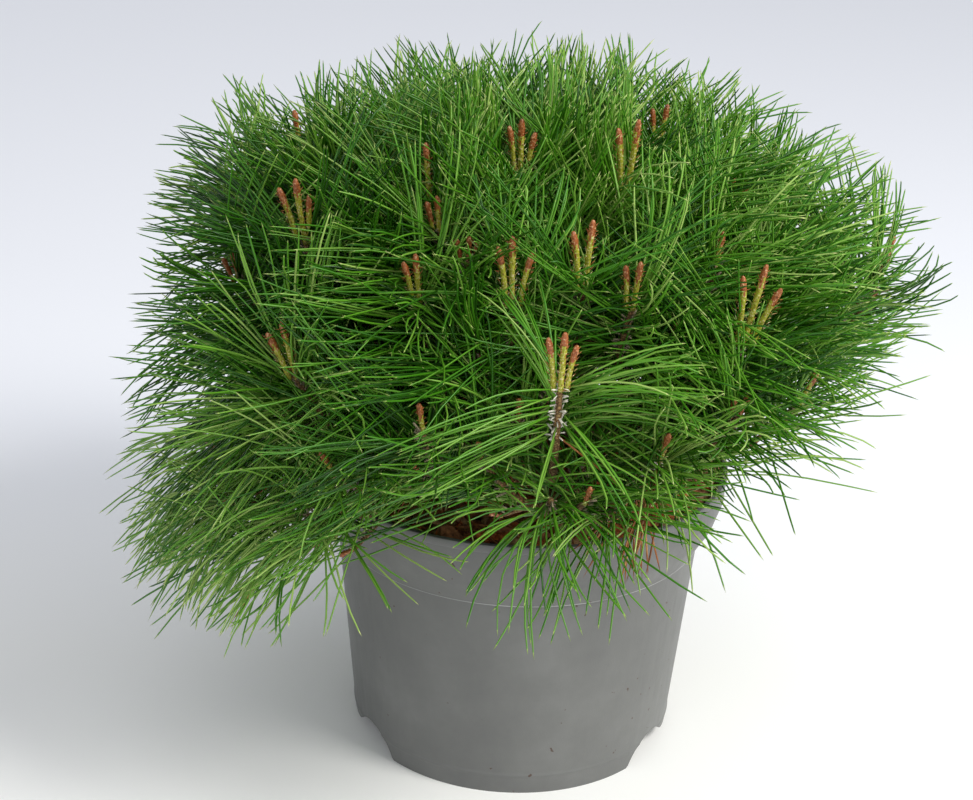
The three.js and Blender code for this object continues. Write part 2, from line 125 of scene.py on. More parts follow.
def linear(hex_colour):
    """An sRGB hex colour as linear RGBA: c/12.92 below 0.04045, else ((c + 0.055)/1.055)^2.4."""
    channels = np.array([int(hex_colour[i : i + 2], 16) for i in (1, 3, 5)]) / 255
    bright = ((channels + 0.055) / 1.055) ** 2.4
    return (*np.where(channels <= 0.04045, channels / 12.92, bright), 1.0)


def new_material(name, **surface):
    """A material whose Principled shader has the given constant settings. Returns it and the shader."""
    material = bpy.data.materials.new(name)
    material.use_nodes = True
    shader = material.node_tree.nodes["Principled BSDF"]
    for setting, value in surface.items():
        shader.inputs[setting.replace("_", " ")].default_value = value
    return material, shader


def add_node(material, kind, settings=None, links=None, stops=None, feeds=None):
    """Adds one node. settings are sockets or properties, links are inputs, and stops a ramp's colours.

    feeds pairs one of its outputs with the socket that it feeds."""
    node = material.node_tree.nodes.new(kind)
    for name, value in (settings or {}).items():
        if isinstance(name, int) or name in node.inputs:
            node.inputs[name].default_value = value
        else:
            setattr(node, name, value)
    for name, source in (links or {}).items():
        material.node_tree.links.new(source, node.inputs[name])
    if stops:
        while len(node.color_ramp.elements) < len(stops):
            node.color_ramp.elements.new(1.0)
        for element, (place, colour) in zip(node.color_ramp.elements, stops):
            element.position = place
            element.color = colour
    if feeds:
        material.node_tree.links.new(node.outputs[feeds[0]], feeds[1])
    return node


def object_place(material):
    """The object's own coordinates, which every pattern here is laid out on."""
    return add_node(material, "ShaderNodeTexCoord").outputs["Object"]


def make_piece(name, vertices, faces, materials, slot, stands_for=(), face_materials=None,
               sharp_angle=None):
    """Puts arrays into a mesh that rides on the root. faces holds an array per number of corners."""
    mesh = bpy.data.meshes.new(name)
    corners = np.concatenate([group.ravel() for group in faces]).astype(np.int32)
    sizes = np.concatenate([np.full(len(group), group.shape[1]) for group in faces])
    starts = (np.cumsum(sizes) - sizes).astype(np.int32)
    mesh.vertices.add(len(vertices))
    mesh.vertices.foreach_set("co", vertices.astype(np.float32).ravel())
    mesh.loops.add(len(corners))
    mesh.loops.foreach_set("vertex_index", corners)
    mesh.polygons.add(len(starts))
    mesh.polygons.foreach_set("loop_start", starts)
    mesh.polygons.foreach_set("use_smooth", np.ones(len(starts), bool))
    for material in materials:
        mesh.materials.append(material)
    if face_materials is not None:
        mesh.polygons.foreach_set("material_index", face_materials.astype(np.int32))
    mesh.update(calc_edges=True)
    mesh.validate()
    if sharp_angle is not None:
        mesh.set_sharp_from_angle(angle=sharp_angle)
    piece = bpy.data.objects.new(name, mesh)
    bpy.context.scene.collection.objects.link(piece)
    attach(piece, "root")
    if stands_for:
        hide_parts(*stands_for)
    return piece


def merge_doubles(piece, distance):
    """Welds vertices that lie on one place, so that a surface that closes on itself is whole."""
    work = bmesh.new()
    work.from_mesh(piece.data)
    bmesh.ops.remove_doubles(work, verts=work.verts, dist=distance)
    work.to_mesh(piece.data)
    work.free()


def grid_faces(rows, columns):
    """Quads of a grid whose last column meets its first. Corner (row, column) is row·columns + column."""
    row, column = np.meshgrid(np.arange(rows - 1), np.arange(columns), indexing="ij")
    beside = (column + 1) % columns
    return np.stack([row * columns + column, row * columns + beside,
                     (row + 1) * columns + beside, (row + 1) * columns + column], -1).reshape(-1, 4)


def foot_arch(half_width):
    """Height of the recess over a distance from the pot's middle plane.

    A quadratic curve runs from the foot to the recess's top, and a cubic one from there down to the lip
    between the two notches."""
    share = np.linspace(0, 1, arch_steps)
    rest = 1 - share
    out = (rest**2 * recess_foot_half_width + 2 * share * rest * recess_corner_half_width
           + share**2 * recess_top_half_width)
    up = recess_height * (1 - rest**2)
    inward = (rest**3 * recess_top_half_width + 3 * share * rest**2 * recess_bend_half_width
              + 3 * share**2 * rest * lip_bend_half_width + share**3 * lip_half_width)
    down = ((rest**3 + 3 * share * rest**2) * recess_height
            + (3 * share**2 * rest + share**3) * lip_height)
    widths = np.append(inward[::-1], out[::-1])
    return np.interp(np.abs(half_width), widths, np.append(down[::-1], up[::-1]), right=0.0)


def pot_outer_radius(height):
    """Radius of the wall at a height: straight from foot to crease, shoulder and neck, plus a ridge."""
    heights = [0, pot_crease_height, pot_shoulder_height, pot_neck_height, pot_height]
    radii = [pot_foot_radius, pot_crease_radius, pot_shoulder_radius, pot_neck_radius, pot_neck_radius]
    ridge = pot_ridge_depth * np.exp(-(((height - pot_ridge_height) / pot_ridge_width) ** 2))
    return np.interp(height, heights, radii) + ridge


def pot_surface():
    """Rings of (radius, height) for every column: the underside, up the wall, the rim, down inside.

    Under the arch of a recess the wall's rings rise to the arch, and the foot ring is cut to the well."""
    angle = np.arange(pot_columns) * 2 * np.pi / pot_columns
    arch = foot_arch(pot_foot_radius * np.sin(angle))
    low = np.minimum(arch, pot_floor_height)
    level = np.ones(pot_columns)
    rings = [
        (pot_middle_hole * level, pot_floor_height * level),
        (pot_ring_inner_radius * level, pot_floor_height * level),
        (pot_ring_inner_radius * level, low),
        (pot_well_radius * level, low),
        (pot_well_radius * level, arch),
    ]
    wall_top = pot_crease_height - 0.0008
    wall_heights = np.concatenate([foot_ring_heights, np.linspace(0.021, wall_top, wall_rings)])
    for height in wall_heights:
        at = np.maximum(height, arch)
        rings.append((pot_outer_radius(at), at))
    ledge_radius = pot_crease_radius + pot_ledge
    bead_bottom = pot_height - pot_bead_depth
    profile = [
        (ledge_radius - 0.0003, pot_crease_height - 0.0006),
        (ledge_radius + 0.0001, pot_crease_height - 0.0003),
        (ledge_radius + 0.0002, pot_crease_height + 0.0002),
        (ledge_radius + 0.0001, pot_crease_height + 0.0006),
        (ledge_radius + 0.0005, pot_crease_height + 0.0014),
        (pot_shoulder_radius - 0.0014, pot_shoulder_height - 0.0022),
        (pot_shoulder_radius, pot_shoulder_height),
        (pot_shoulder_radius + 0.0010, pot_shoulder_height + 0.0024),
        (pot_neck_radius - 0.0008, pot_neck_height - 0.0022),
        (pot_neck_radius, pot_neck_height),
        (pot_neck_radius + 0.0001, bead_bottom - 0.0004),
        (pot_rim_radius - 0.0003, bead_bottom + 0.0002),
        (pot_rim_radius, bead_bottom + 0.0010),
        (pot_rim_radius, pot_height - 0.0010),
        (pot_rim_radius - 0.0003, pot_height - 0.0003),
        (pot_rim_radius - 0.0010, pot_height),
        (pot_neck_radius - pot_wall + 0.0006, pot_height),
        (pot_neck_radius - pot_wall, pot_height - 0.0006),
        (pot_neck_radius - pot_wall, pot_neck_height),
        (pot_shoulder_radius - pot_wall, pot_shoulder_height),
        (pot_crease_radius - pot_wall, pot_crease_height),
        (pot_foot_radius, recess_height + pot_inner_step),
        (pot_ring_inner_radius, recess_height + pot_inner_step),
        (pot_ring_inner_radius, pot_floor_top),
        (pot_middle_hole, pot_floor_top),
    ]
    rings += [(radius * level, height * level) for radius, height in profile]
    radius, height = (np.array(values) for values in zip(*rings))
    return np.stack([radius * np.cos(angle), radius * np.sin(angle), height], -1)


def moulded_polypropylene():
    """Grey moulded polypropylene: satin, with a fine eroded grain of under a millimetre.

    It has a soft bloom of dust, a few soil specks of 5 mm and less, upright scuffs about 4 mm wide, and
    a pale line along the edge of its crease, which is a painted highlight."""
    material, shader = new_material("moulded grey polypropylene", IOR=1.49, Roughness=0.46)
    black, white = (0, 0, 0, 1), (1, 1, 1, 1)
    place = object_place(material)
    bloom = add_node(material, "ShaderNodeTexNoise", {"Scale": 14, "Detail": 5, "Roughness": 0.62},
                     {"Vector": place}).outputs["Fac"]
    grey = add_node(material, "ShaderNodeValToRGB", links={"Fac": bloom}, stops=[
        (0.30, linear("#5e5f5e")), (0.52, linear("#676866")), (0.72, linear("#717270"))])
    specks = add_node(material, "ShaderNodeTexNoise", {"Scale": 190, "Detail": 2}, {"Vector": place})
    speck_share = add_node(material, "ShaderNodeValToRGB", links={"Fac": specks.outputs["Fac"]},
                           stops=[(0.735, black), (0.765, white)])
    colour = add_node(material, "ShaderNodeMix", {"data_type": "RGBA", 7: linear("#4c3c33")},
                      {0: speck_share.outputs["Color"], 6: grey.outputs["Color"]})
    height = add_node(material, "ShaderNodeSeparateXYZ", links={"Vector": place}).outputs["Z"]
    # Painted highlight: a pale line on the edge of the crease, stronger where the bloom is paler.
    crease = {"From Min": pot_crease_height - 0.001, "From Max": pot_crease_height + 0.001}
    over_crease = add_node(material, "ShaderNodeMapRange", crease, {"Value": height})
    crease_highlight_line = add_node(material, "ShaderNodeValToRGB", links={"Fac": over_crease.outputs["Result"]},
                         stops=[(0.38, black), (0.48, white), (0.60, white), (0.70, black)])
    crease_highlight_share = add_node(material, "ShaderNodeValToRGB", links={"Fac": bloom}, stops=[
        (0.38, (0.12, 0.12, 0.12, 1)), (0.62, (0.8, 0.8, 0.8, 1))])
    painted_crease_highlight = add_node(material, "ShaderNodeMath", {"operation": "MULTIPLY"},
                    {0: crease_highlight_line.outputs["Color"], 1: crease_highlight_share.outputs["Color"]})
    add_node(material, "ShaderNodeMix", {"data_type": "RGBA", 7: linear("#c4c5c3")},
             {0: painted_crease_highlight.outputs["Value"], 6: colour.outputs[2]}, feeds=(2, shader.inputs["Base Color"]))
    upright = add_node(material, "ShaderNodeMapping", {"Scale": (260, 260, 30)}, {"Vector": place})
    scuffs = add_node(material, "ShaderNodeTexNoise", {"Scale": 1, "Detail": 3},
                      {"Vector": upright.outputs["Vector"]})
    add_node(material, "ShaderNodeMapRange", {"To Min": 0.38, "To Max": 0.58},
             {"Value": scuffs.outputs["Fac"]}, feeds=("Result", shader.inputs["Roughness"]))
    grain = add_node(material, "ShaderNodeTexNoise", {"Scale": 1300, "Detail": 2}, {"Vector": place})
    add_node(material, "ShaderNodeBump", {"Strength": 0.16, "Distance": 0.0004},
             {"Height": grain.outputs["Fac"]}, feeds=("Normal", shader.inputs["Normal"]))
    return material


pot_points = pot_surface()
pot = make_piece("grower_pot", pot_points.reshape(-1, 3), [grid_faces(len(pot_points), pot_columns)],
                 [moulded_polypropylene()], "pot_plastic", stands_for=["pot"])
merge_doubles(pot, pot_weld)
pot.data.set_sharp_from_angle(angle=pot_sharp_angle)


# Soil: a peat and bark mix, filled to a little under the rim and mounded at the trunk. Its top
# is strewn with chips of pine bark, and dead needles have dropped on it.
soil_edge_height = 0.170
soil_mound_height = 0.174
soil_mound_radius = 0.042
chip_count = 1000
chip_sides = 6
chip_outline = (0.7, 1.25)
chip_lengths = (0.004, 0.0115)
chip_slenderness = (0.45, 0.9)
chip_thicknesses = (0.0008, 0.0024)
chip_top_share = 0.86
chip_top_rise = 1.3
chip_tilt = 0.33
chip_limit = 0.1255
chip_reach = 0.1225
chip_pile = 0.0085
chip_pile_power = 1.5
chip_sharp_angle = np.radians(30)
straight_up = np.array([0, 0, 1.0])
litter_count = 150
litter_length = 0.075
litter_lengths = (0.5, 1.1)
litter_radius = 0.0006
litter_reach = 0.112
litter_bend = 0.12
litter_lift = (0.006, 0.012)
ground_random = np.random.default_rng(41)


def soil_top(x, y):
    """Height of the mound: level round the trunk, then straight down to its edge."""
    places = [soil_mound_radius, pot_neck_radius]
    return np.interp(np.hypot(x, y), places, [soil_mound_height, soil_edge_height])


def noise_material(name, noise, stops=None, bump=None, **surface):
    """A material whose one noise picks its colour from a ramp's stops and raises its relief.

    noise is the patches per metre, their detail and its roughness. bump is the strength and height."""
    material, shader = new_material(name, **surface)
    settings = dict(zip(("Scale", "Detail", "Roughness"), noise))
    pattern = add_node(material, "ShaderNodeTexNoise", settings, {"Vector": object_place(material)})
    if stops:
        add_node(material, "ShaderNodeValToRGB", links={"Fac": pattern.outputs["Fac"]},
                 stops=[(place, linear(colour)) for place, colour in stops],
                 feeds=("Color", shader.inputs["Base Color"]))
    if bump:
        add_node(material, "ShaderNodeBump", {"Strength": bump[0], "Distance": bump[1]},
                 {"Height": pattern.outputs["Fac"]}, feeds=("Normal", shader.inputs["Normal"]))
    return material


def bark_chip_material(name, dark, light):
    """Weathered pine bark: a matt brown crust in layers about 4 mm wide, with dark cracks between them."""
    return noise_material(name, (260, 6, 0.7), [(0.34, dark), (0.66, light)], (0.7, 0.0015),
                          IOR=1.45, Roughness=0.92)


def bark_chips(count):
    """Flat chips: a six-sided outline with a seeded wobble, a smaller top ring, and two middles.

    Each chip is turned by a seeded yaw and tilt, and its middle lies on the mound."""
    angle = np.arange(chip_sides) * 2 * np.pi / chip_sides
    wobble = ground_random.uniform(*chip_outline, (count, chip_sides))
    length = ground_random.uniform(*chip_lengths, (count, 1))
    slender = ground_random.uniform(*chip_slenderness, (count, 1))
    thick = ground_random.uniform(*chip_thicknesses, (count, 1))
    flat = np.stack([length * wobble * np.cos(angle), length * slender * wobble * np.sin(angle),
                     np.zeros((count, chip_sides))], -1)
    lift = straight_up * thick[..., None]
    middle = np.zeros((count, 1, 3))
    chips = np.concatenate([flat - lift, flat * chip_top_share + lift, middle - lift,
                            middle + lift * chip_top_rise], 1)
    yaw = ground_random.uniform(0, 2 * np.pi, count)
    tilt = ground_random.normal(0, chip_tilt, count)
    roll = ground_random.normal(0, chip_tilt, count)
    distance = chip_reach * np.sqrt(ground_random.uniform(0, 1, count))
    around = ground_random.uniform(0, 2 * np.pi, count)
    x, y = distance * np.cos(around), distance * np.sin(around)
    height = soil_top(x, y) + chip_pile * ground_random.uniform(0, 1, count) ** chip_pile_power
    centre = np.stack([x, y, height], -1)
    points = np.einsum("cij,cvj->cvi", turned_axes(yaw, tilt, roll), chips) + centre[:, None]
    inward = np.minimum(1, chip_limit / np.hypot(points[..., 0], points[..., 1]))
    points[..., :2] *= inward[..., None]
    return points


def turned_axes(yaw, tilt, roll):
    """A rotation for each angle set: yaw about Z, times tilt about X, times roll about Y."""
    zero, one = np.zeros_like(yaw), np.ones_like(yaw)
    about_z = [np.cos(yaw), -np.sin(yaw), zero, np.sin(yaw), np.cos(yaw), zero, zero, zero, one]
    about_x = [one, zero, zero, zero, np.cos(tilt), -np.sin(tilt), zero, np.sin(tilt), np.cos(tilt)]
    about_y = [np.cos(roll), zero, np.sin(roll), zero, one, zero, -np.sin(roll), zero, np.cos(roll)]
    turns = [np.stack(values, -1).reshape(-1, 3, 3) for values in (about_z, about_x, about_y)]
    return turns[0] @ turns[1] @ turns[2]


def chip_faces():
    """A chip's triangles: two for each side, and a fan to the middle of its bottom and of its top."""
    here = np.arange(chip_sides)
    beside = (here + 1) % chip_sides
    bottom = np.full(chip_sides, 2 * chip_sides)
    return np.concatenate([
        np.stack([here, beside, beside + chip_sides], -1),
        np.stack([here, beside + chip_sides, here + chip_sides], -1),
        np.stack([beside, here, bottom], -1),
        np.stack([here + chip_sides, beside + chip_sides, bottom + 1], -1)])


def repeated(faces, copies, vertices_each):
    """The same faces for every copy of a shape, moved on by its number of vertices."""
    moved_on = (np.arange(copies) * vertices_each)[:, None, None]
    return (faces[None] + moved_on).reshape(-1, faces.shape[1])


peat = bark_chip_material("peat and bark mix", "#241811", "#463022")
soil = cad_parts["soil"]
soil.data.materials.clear()
soil.data.materials.append(peat)

chip_materials = [
    bark_chip_material("weathered bark", "#4e301c", "#b2764b"),
    bark_chip_material("red inner bark", "#843e1c", "#e38448"),
    bark_chip_material("dry bark crust", "#64472e", "#cfa577"),
]
chip_points = bark_chips(chip_count)
one_chip = chip_faces()
chip_kind = ground_random.choice(3, chip_count, p=[0.42, 0.36, 0.22])
make_piece("bark_chips", chip_points.reshape(-1, 3),
           [repeated(one_chip, chip_count, chip_points.shape[1])], chip_materials, "bark_mix",
           face_materials=np.repeat(chip_kind, len(one_chip)), sharp_angle=chip_sharp_angle)


def ring_points(paths, radii, sides):
    """Rings round paths: point + radius·(cos a·sideways + sin a·across), with sideways square to the path.

    paths is (tubes, points, 3). radii is (tubes, points), or (tubes, points, sides) for a rough surface."""
    along = unit(np.gradient(paths, axis=1))
    chord = unit(paths[:, -1] - paths[:, 0])
    least = np.argmin(np.abs(chord), axis=1)
    reference = np.eye(3)[least][:, None]
    sideways = unit(np.cross(along, reference))
    across = np.cross(along, sideways)
    angle = np.arange(sides) * 2 * np.pi / sides
    round_about = (np.cos(angle)[:, None] * sideways[:, :, None]
                   + np.sin(angle)[:, None] * across[:, :, None])
    if radii.ndim == 2:
        radii = radii[:, :, None]
    return paths[:, :, None] + radii[..., None] * round_about


def tubes(paths, radii, sides):
    """Closed tubes: rings at every point but the last, which is the tip that the last ring runs to.

    Returns vertices, faces of four, three and `sides` corners, and the tube and ring of each face."""
    count, points = paths.shape[:2]
    body = ring_points(paths, radii, sides)[:, :-1].reshape(count, -1, 3)
    vertices = np.concatenate([body, paths[:, -1:]], 1)
    each = vertices.shape[1]
    walls = grid_faces(points - 1, sides)
    last = (points - 2) * sides + np.arange(sides)
    fan = np.stack([last, np.roll(last, -1), np.full(sides, each - 1)], -1)
    base = np.arange(sides)[None, ::-1]
    faces = [repeated(group, count, each) for group in (walls, fan, base)]
    tube_of_face = np.concatenate([np.repeat(np.arange(count), len(group)) for group in (walls, fan, base)])
    ring_of_face = np.concatenate([
        np.tile(np.repeat(np.arange(points - 2), sides), count), np.full(count * sides, points - 2),
        np.zeros(count, int)])
    return vertices.reshape(-1, 3), faces, tube_of_face, ring_of_face


def dead_needle_material():
    """A dead pine needle: dry, matt and reddish brown, in paler and darker lengths of about 2 cm."""
    return noise_material("dead pine needle", (60, 2), [(0.35, "#6b3a18"), (0.55, "#965a2a"),
                          (0.7, "#bd8a52")], IOR=1.45, Roughness=0.7)


def litter_paths(count):
    """Dead needles on the chips: a straight run in the plane of the mound with a small seeded bend."""
    share = np.linspace(0, 1, 6) - 0.5
    distance = litter_reach * np.sqrt(ground_random.uniform(0.05, 1, count))
    around = ground_random.uniform(0, 2 * np.pi, count)
    heading = ground_random.uniform(0, 2 * np.pi, count)
    bend = ground_random.normal(0, litter_bend, count)
    length = litter_length * ground_random.uniform(*litter_lengths, count)
    step = share * length[:, None]
    curve = bend[:, None] * length[:, None] * share**2
    forward, aside = np.cos(heading)[:, None], np.sin(heading)[:, None]
    x = (distance * np.cos(around))[:, None] + step * forward - curve * aside
    y = (distance * np.sin(around))[:, None] + step * aside + curve * forward
    inward = np.minimum(1, chip_reach / np.hypot(x, y))
    lift = ground_random.uniform(*litter_lift, count)[:, None]
    return np.stack([x * inward, y * inward, soil_top(x, y) + lift], -1)


dead_needle = dead_needle_material()
litter = litter_paths(litter_count)
litter_radii = np.full(litter.shape[:2], litter_radius)
make_piece("needle_litter", *tubes(litter, litter_radii, 3)[:2], [dead_needle], "bark_mix")


# Trunk: a short stem that leans a little to the front right and flares where it leaves the soil.
# Its bark is grey-brown, in scaly plates with darker cracks, raised here as real relief.
trunk_foot = 0.1743
trunk_top = 0.266
trunk_radius = 0.013
trunk_top_radius = 0.009
trunk_flare = 0.009
trunk_flare_length = 0.012
trunk_lean = np.array([0.007, -0.005])
trunk_sunk = 0.006
trunk_rings = 84
trunk_sides = 64
trunk_tip = 0.004
trunk_tip_radius = 0.001
trunk_plates = (0.0065, 0.0016, 0.0013)
plate_stretch = np.array([1, 1, 0.6])
fewest_plates = 8
middle_of_relief = 0.75
bark_ripple = 0.12
bark_random = np.random.default_rng(52)


def trunk_point(height):
    """The trunk's axis at a height: the lean grows with the square of the share of the way up."""
    share = (height - trunk_foot) / (trunk_top - trunk_foot)
    return np.stack([trunk_lean[0] * share**2, trunk_lean[1] * share**2, height], -1)


def trunk_radius_at(height):
    """A straight taper, plus a flare that fades upwards as an exponential."""
    share = (height - trunk_foot) / (trunk_top - trunk_foot)
    flare = trunk_flare * np.exp((trunk_foot - np.maximum(height, trunk_foot)) / trunk_flare_length)
    return trunk_radius + (trunk_top_radius - trunk_radius) * share + flare


def bark_relief(surface, plate_size, crack):
    """How far plates of bark stand out, from 0 in a crack to 1: 1 − exp(−gap/crack).

    The gap is between the distances to the two nearest plate centres, seeded points of the surface."""
    points = surface.reshape(-1, 3)
    count = max(int(limb_area(surface) / plate_size**2), fewest_plates)
    centres = points[bark_random.choice(len(points), count, replace=False)]
    distances = np.linalg.norm((points[:, None] - centres[None]) * plate_stretch, axis=-1)
    nearest = np.partition(distances, 1, axis=1)
    gap = (nearest[:, 1] - nearest[:, 0]) / crack
    return (1 - np.exp(-gap)).reshape(surface.shape[:-1])


def limb_area(surface):
    """Area of a limb's rings: the length round each ring times the step to the next one."""
    round_ring = np.linalg.norm(np.roll(surface, -1, axis=-2) - surface, axis=-1).sum(-1)
    middles = surface.mean(-2)
    steps = np.linalg.norm(np.diff(middles, axis=-2), axis=-1)
    return float((round_ring[..., :-1] * steps).sum())


def rough_limb(path, radius, sides, plates):
    """Surface of one limb with plates of bark: radius + depth·(relief − middle + ripple).

    plates holds the size of a plate, the width of a crack and the depth of the relief."""
    plate_size, crack, depth = plates
    relief = bark_relief(ring_points(path[None], radius[None], sides), plate_size, crack)
    ripple = bark_random.normal(0, bark_ripple, relief.shape)
    rough = radius[None, :, None] + depth * (relief - middle_of_relief + ripple)
    return tubes(path[None], rough, sides)[:2]


def bark_material(name, crack_colour, dark, light, scales_per_metre):
    """Young pine bark: matt grey-brown scales of 2 to 5 mm, dark cracks, and larger weathered patches."""
    material, shader = new_material(name, IOR=1.45, Roughness=0.88)
    place = object_place(material)
    scales = add_node(material, "ShaderNodeTexVoronoi", {
        "feature": "DISTANCE_TO_EDGE", "Scale": scales_per_metre}, {"Vector": place}).outputs["Distance"]
    plates = add_node(material, "ShaderNodeValToRGB", links={"Fac": scales}, stops=[
        (0.0, linear(crack_colour)), (0.10, linear(dark)), (0.45, linear(light))])
    weather = add_node(material, "ShaderNodeTexNoise", {"Scale": scales_per_metre * 0.5, "Detail": 5},
                       {"Vector": place})
    colour = add_node(material, "ShaderNodeMix", {"data_type": "RGBA", "blend_type": "MULTIPLY", 0: 0.55},
                      {6: plates.outputs["Color"], 7: weather.outputs["Color"]})
    add_node(material, "ShaderNodeGamma", {"Gamma": 0.85}, {"Color": colour.outputs[2]},
             feeds=("Color", shader.inputs["Base Color"]))
    add_node(material, "ShaderNodeBump", {"Strength": 0.6, "Distance": 0.001}, {"Height": scales},
             feeds=("Normal", shader.inputs["Normal"]))
    return material


old_bark = bark_material("scaly pine bark", "#20150e", "#5d4634", "#94775c", 210)
trunk_heights = np.linspace(trunk_foot - trunk_sunk, trunk_top, trunk_rings)
trunk_path = trunk_point(np.append(trunk_heights, trunk_top + trunk_tip))
trunk_radii = np.append(trunk_radius_at(trunk_heights), trunk_tip_radius)
make_piece("barked_trunk", *rough_limb(trunk_path, trunk_radii, trunk_sides, trunk_plates), [old_bark],
           "bark", stands_for=["trunk"])


# Boughs: three whorls of tapering limbs, which leave the trunk with a small collar and turn up
# towards the light. The same scaly bark covers them, in smaller plates.
whorls = [
    dict(name="low", count=7, first_azimuth=-84, elevation=-4, start_height=0.192, height_step=0.0043,
         height_order=3, height_cycle=7, start_offset=0.003, end_radius=0.112, end_height=0.222, rise=0.62,
         root_radius=0.0056, tip_radius=0.0042),
    dict(name="middle", count=6, first_azimuth=-58, elevation=30, start_height=0.230, height_step=0.012,
         height_order=1, height_cycle=2, start_offset=0.003, end_radius=0.088, end_height=0.293, rise=0.3,
         root_radius=0.0050, tip_radius=0.0040),
    dict(name="top", count=3, first_azimuth=-58, elevation=66, start_height=0.256, height_step=0.0,
         height_order=1, height_cycle=1, start_offset=0.007, end_radius=0.027, end_height=0.309, rise=0.5,
         root_radius=0.0046, tip_radius=0.0038),
]
bough_collar = 0.0016
bough_collar_fade = 8
bough_sides = 18
bough_rings = 52
stem_length = 0.0163
stem_shares = np.linspace(0.2, 1.25, 6)[:, None]
stem_tip_shares = (0.6, 0.1)
knot_sunk = 0.003
bough_plates = (0.0042, 0.0009, 0.0007)


def direction(azimuth, elevation):
    """The unit vector at an azimuth from +X and an elevation over the horizon."""
    flat = np.cos(elevation)
    return np.stack([flat * np.cos(azimuth), flat * np.sin(azimuth), np.sin(elevation)], -1)


def plan_bough(whorl, place):
    """One bough: a quadratic Bezier curve from trunk to end, then straight along its stem to the knot."""
    azimuth = np.radians(whorl["first_azimuth"] + place * 360 / whorl["count"])
    outward = direction(azimuth, 0)
    order = (place * whorl["height_order"]) % whorl["height_cycle"]
    start_height = whorl["start_height"] + order * whorl["height_step"]
    start = trunk_point(start_height) + outward * whorl["start_offset"]
    end = outward * whorl["end_radius"]
    end[2] = whorl["end_height"]
    bend = (start + end) / 2
    bend[2] = start[2] + (end[2] - start[2]) * whorl["rise"]
    share = np.linspace(0, 1, bough_rings)[:, None]
    path = (1 - share) ** 2 * start + 2 * share * (1 - share) * bend + share**2 * end
    heading = unit(end - bend)
    stem = end + heading * stem_length * stem_shares
    taper = whorl["root_radius"] + (whorl["tip_radius"] - whorl["root_radius"]) * share[:, 0]
    collar = bough_collar * np.exp(-bough_collar_fade * share[:, 0])
    radius = np.append(taper + collar, np.full(len(stem), whorl["tip_radius"]))
    radius[-2:] *= stem_tip_shares
    return dict(label=f"{whorl['name']}_{place + 1}", path=np.concatenate([path, stem]), radius=radius,
                knot=end + heading * stem_length - heading * knot_sunk, heading=heading,
                site=direction(azimuth, np.radians(whorl["elevation"])))


boughs = [plan_bough(whorl, place) for whorl in whorls for place in range(whorl["count"])]
for bough in boughs:
    limb = rough_limb(bough["path"], bough["radius"], bough_sides, bough_plates)
    make_piece(f"barked_bough_{bough['label']}", *limb, [old_bark], "bark",
               stands_for=[f"bough_{bough['label']}"])


# Twigs: the shoots of the last years. Every mass branches from its bough's knot to its share of
# the shoot tips, and finer side shoots fill the gaps between those, down to about 3 cm apart.
crown_centre = np.array([0, 0, 0.250])
crown_reach_x = 0.257
crown_reach_y = 0.251
crown_rise = 0.188
crown_drop = 0.1415
crown_drop_to_the_left = 0.0365
dome_roundness = 2.2
dome_roundness_to_the_right = 0.1
skirt_roundness = 3.25
skirt_roundness_to_the_left = 0.75
skirt_near_radius = 0.14
skirt_far_radius = 0.24
skirt_goes_on = 1.2
golden_angle = np.pi * (3 - np.sqrt(5))

# Where the tips of the main shoots stand, and how much they turn up
shoot_count = 84
first_shoot_azimuth = 180
lowest_shoot_angle = 105
shoot_shell_depth = 0.074
shoot_depth_spread = 0.030
shoot_over_skirt = 0.014
shown_shoot_depth = 0.054
sight_distances = np.linspace(0.7, 1.6, 1800)
moved_at_most = 0.045
sag_to_the_left = 0.024
sag_below = 0.35
upright_share = 0.58
low_upright_share = 0.36
upright_from = (-0.2, 0.35)
open_shoot = 14
open_shoot_elevation = 66
open_shoot_depth = 0.036

# Twigs and side shoots
spray_length = 0.040
twig_ease = 0.28
twig_root_radius = 0.0029
twig_tip_radius = 0.0016
twig_rings = 22
twig_sides = 7
straight_rings = 6
first_straight_ring = 0.16
bark_scar_spread = 0.07
side_shoots_tried = 5
side_shoot_reach = 0.035
side_shoot_reaches = (0.85, 1.15)
side_shoot_depths = (0.004, 0.024)
side_shoot_further = 0.004
side_shoot_lean = 0.45
side_shoot_room = 0.030
side_shoot_fork = 0.55
side_twig_girth = 0.85
beside_side_shoots = [0.3, 0.2, 1.0]
shoot_over_rim = 0.022
shoot_past_rim = 0.020

# Where the crown swells out or stands back: azimuth from the front to the right, elevation, width and
# share
crown_swells = [
    (-105, 31, 18, 0.115), (-88, 2, 18, -0.18), (-78, -27, 19, 0.04), (80, -8, 24, -0.16),
    (85, 14, 16, 0.08), (115, 45, 14, -0.02), (-155, 65, 12, 0.04),
]

# How low the crown hangs: azimuth from the front to the right, and the height near the pot and far out
skirt_azimuths, skirt_near_heights, skirt_far_heights = np.array([
    (-180, 0.150, 0.110), (-120, 0.140, 0.100), (-90, 0.126, 0.085), (-75, 0.106, 0.080),
    (-60, 0.108, 0.094), (-45, 0.142, 0.130), (-33, 0.165, 0.178), (-25, 0.176, 0.212),
    (-12, 0.188, 0.229), (0, 0.194, 0.238), (12, 0.194, 0.241), (30, 0.194, 0.247),
    (45, 0.204, 0.261), (60, 0.212, 0.280), (75, 0.216, 0.289), (90, 0.205, 0.270),
    (105, 0.175, 0.228), (120, 0.140, 0.170), (150, 0.140, 0.115), (180, 0.150, 0.110),
]).T

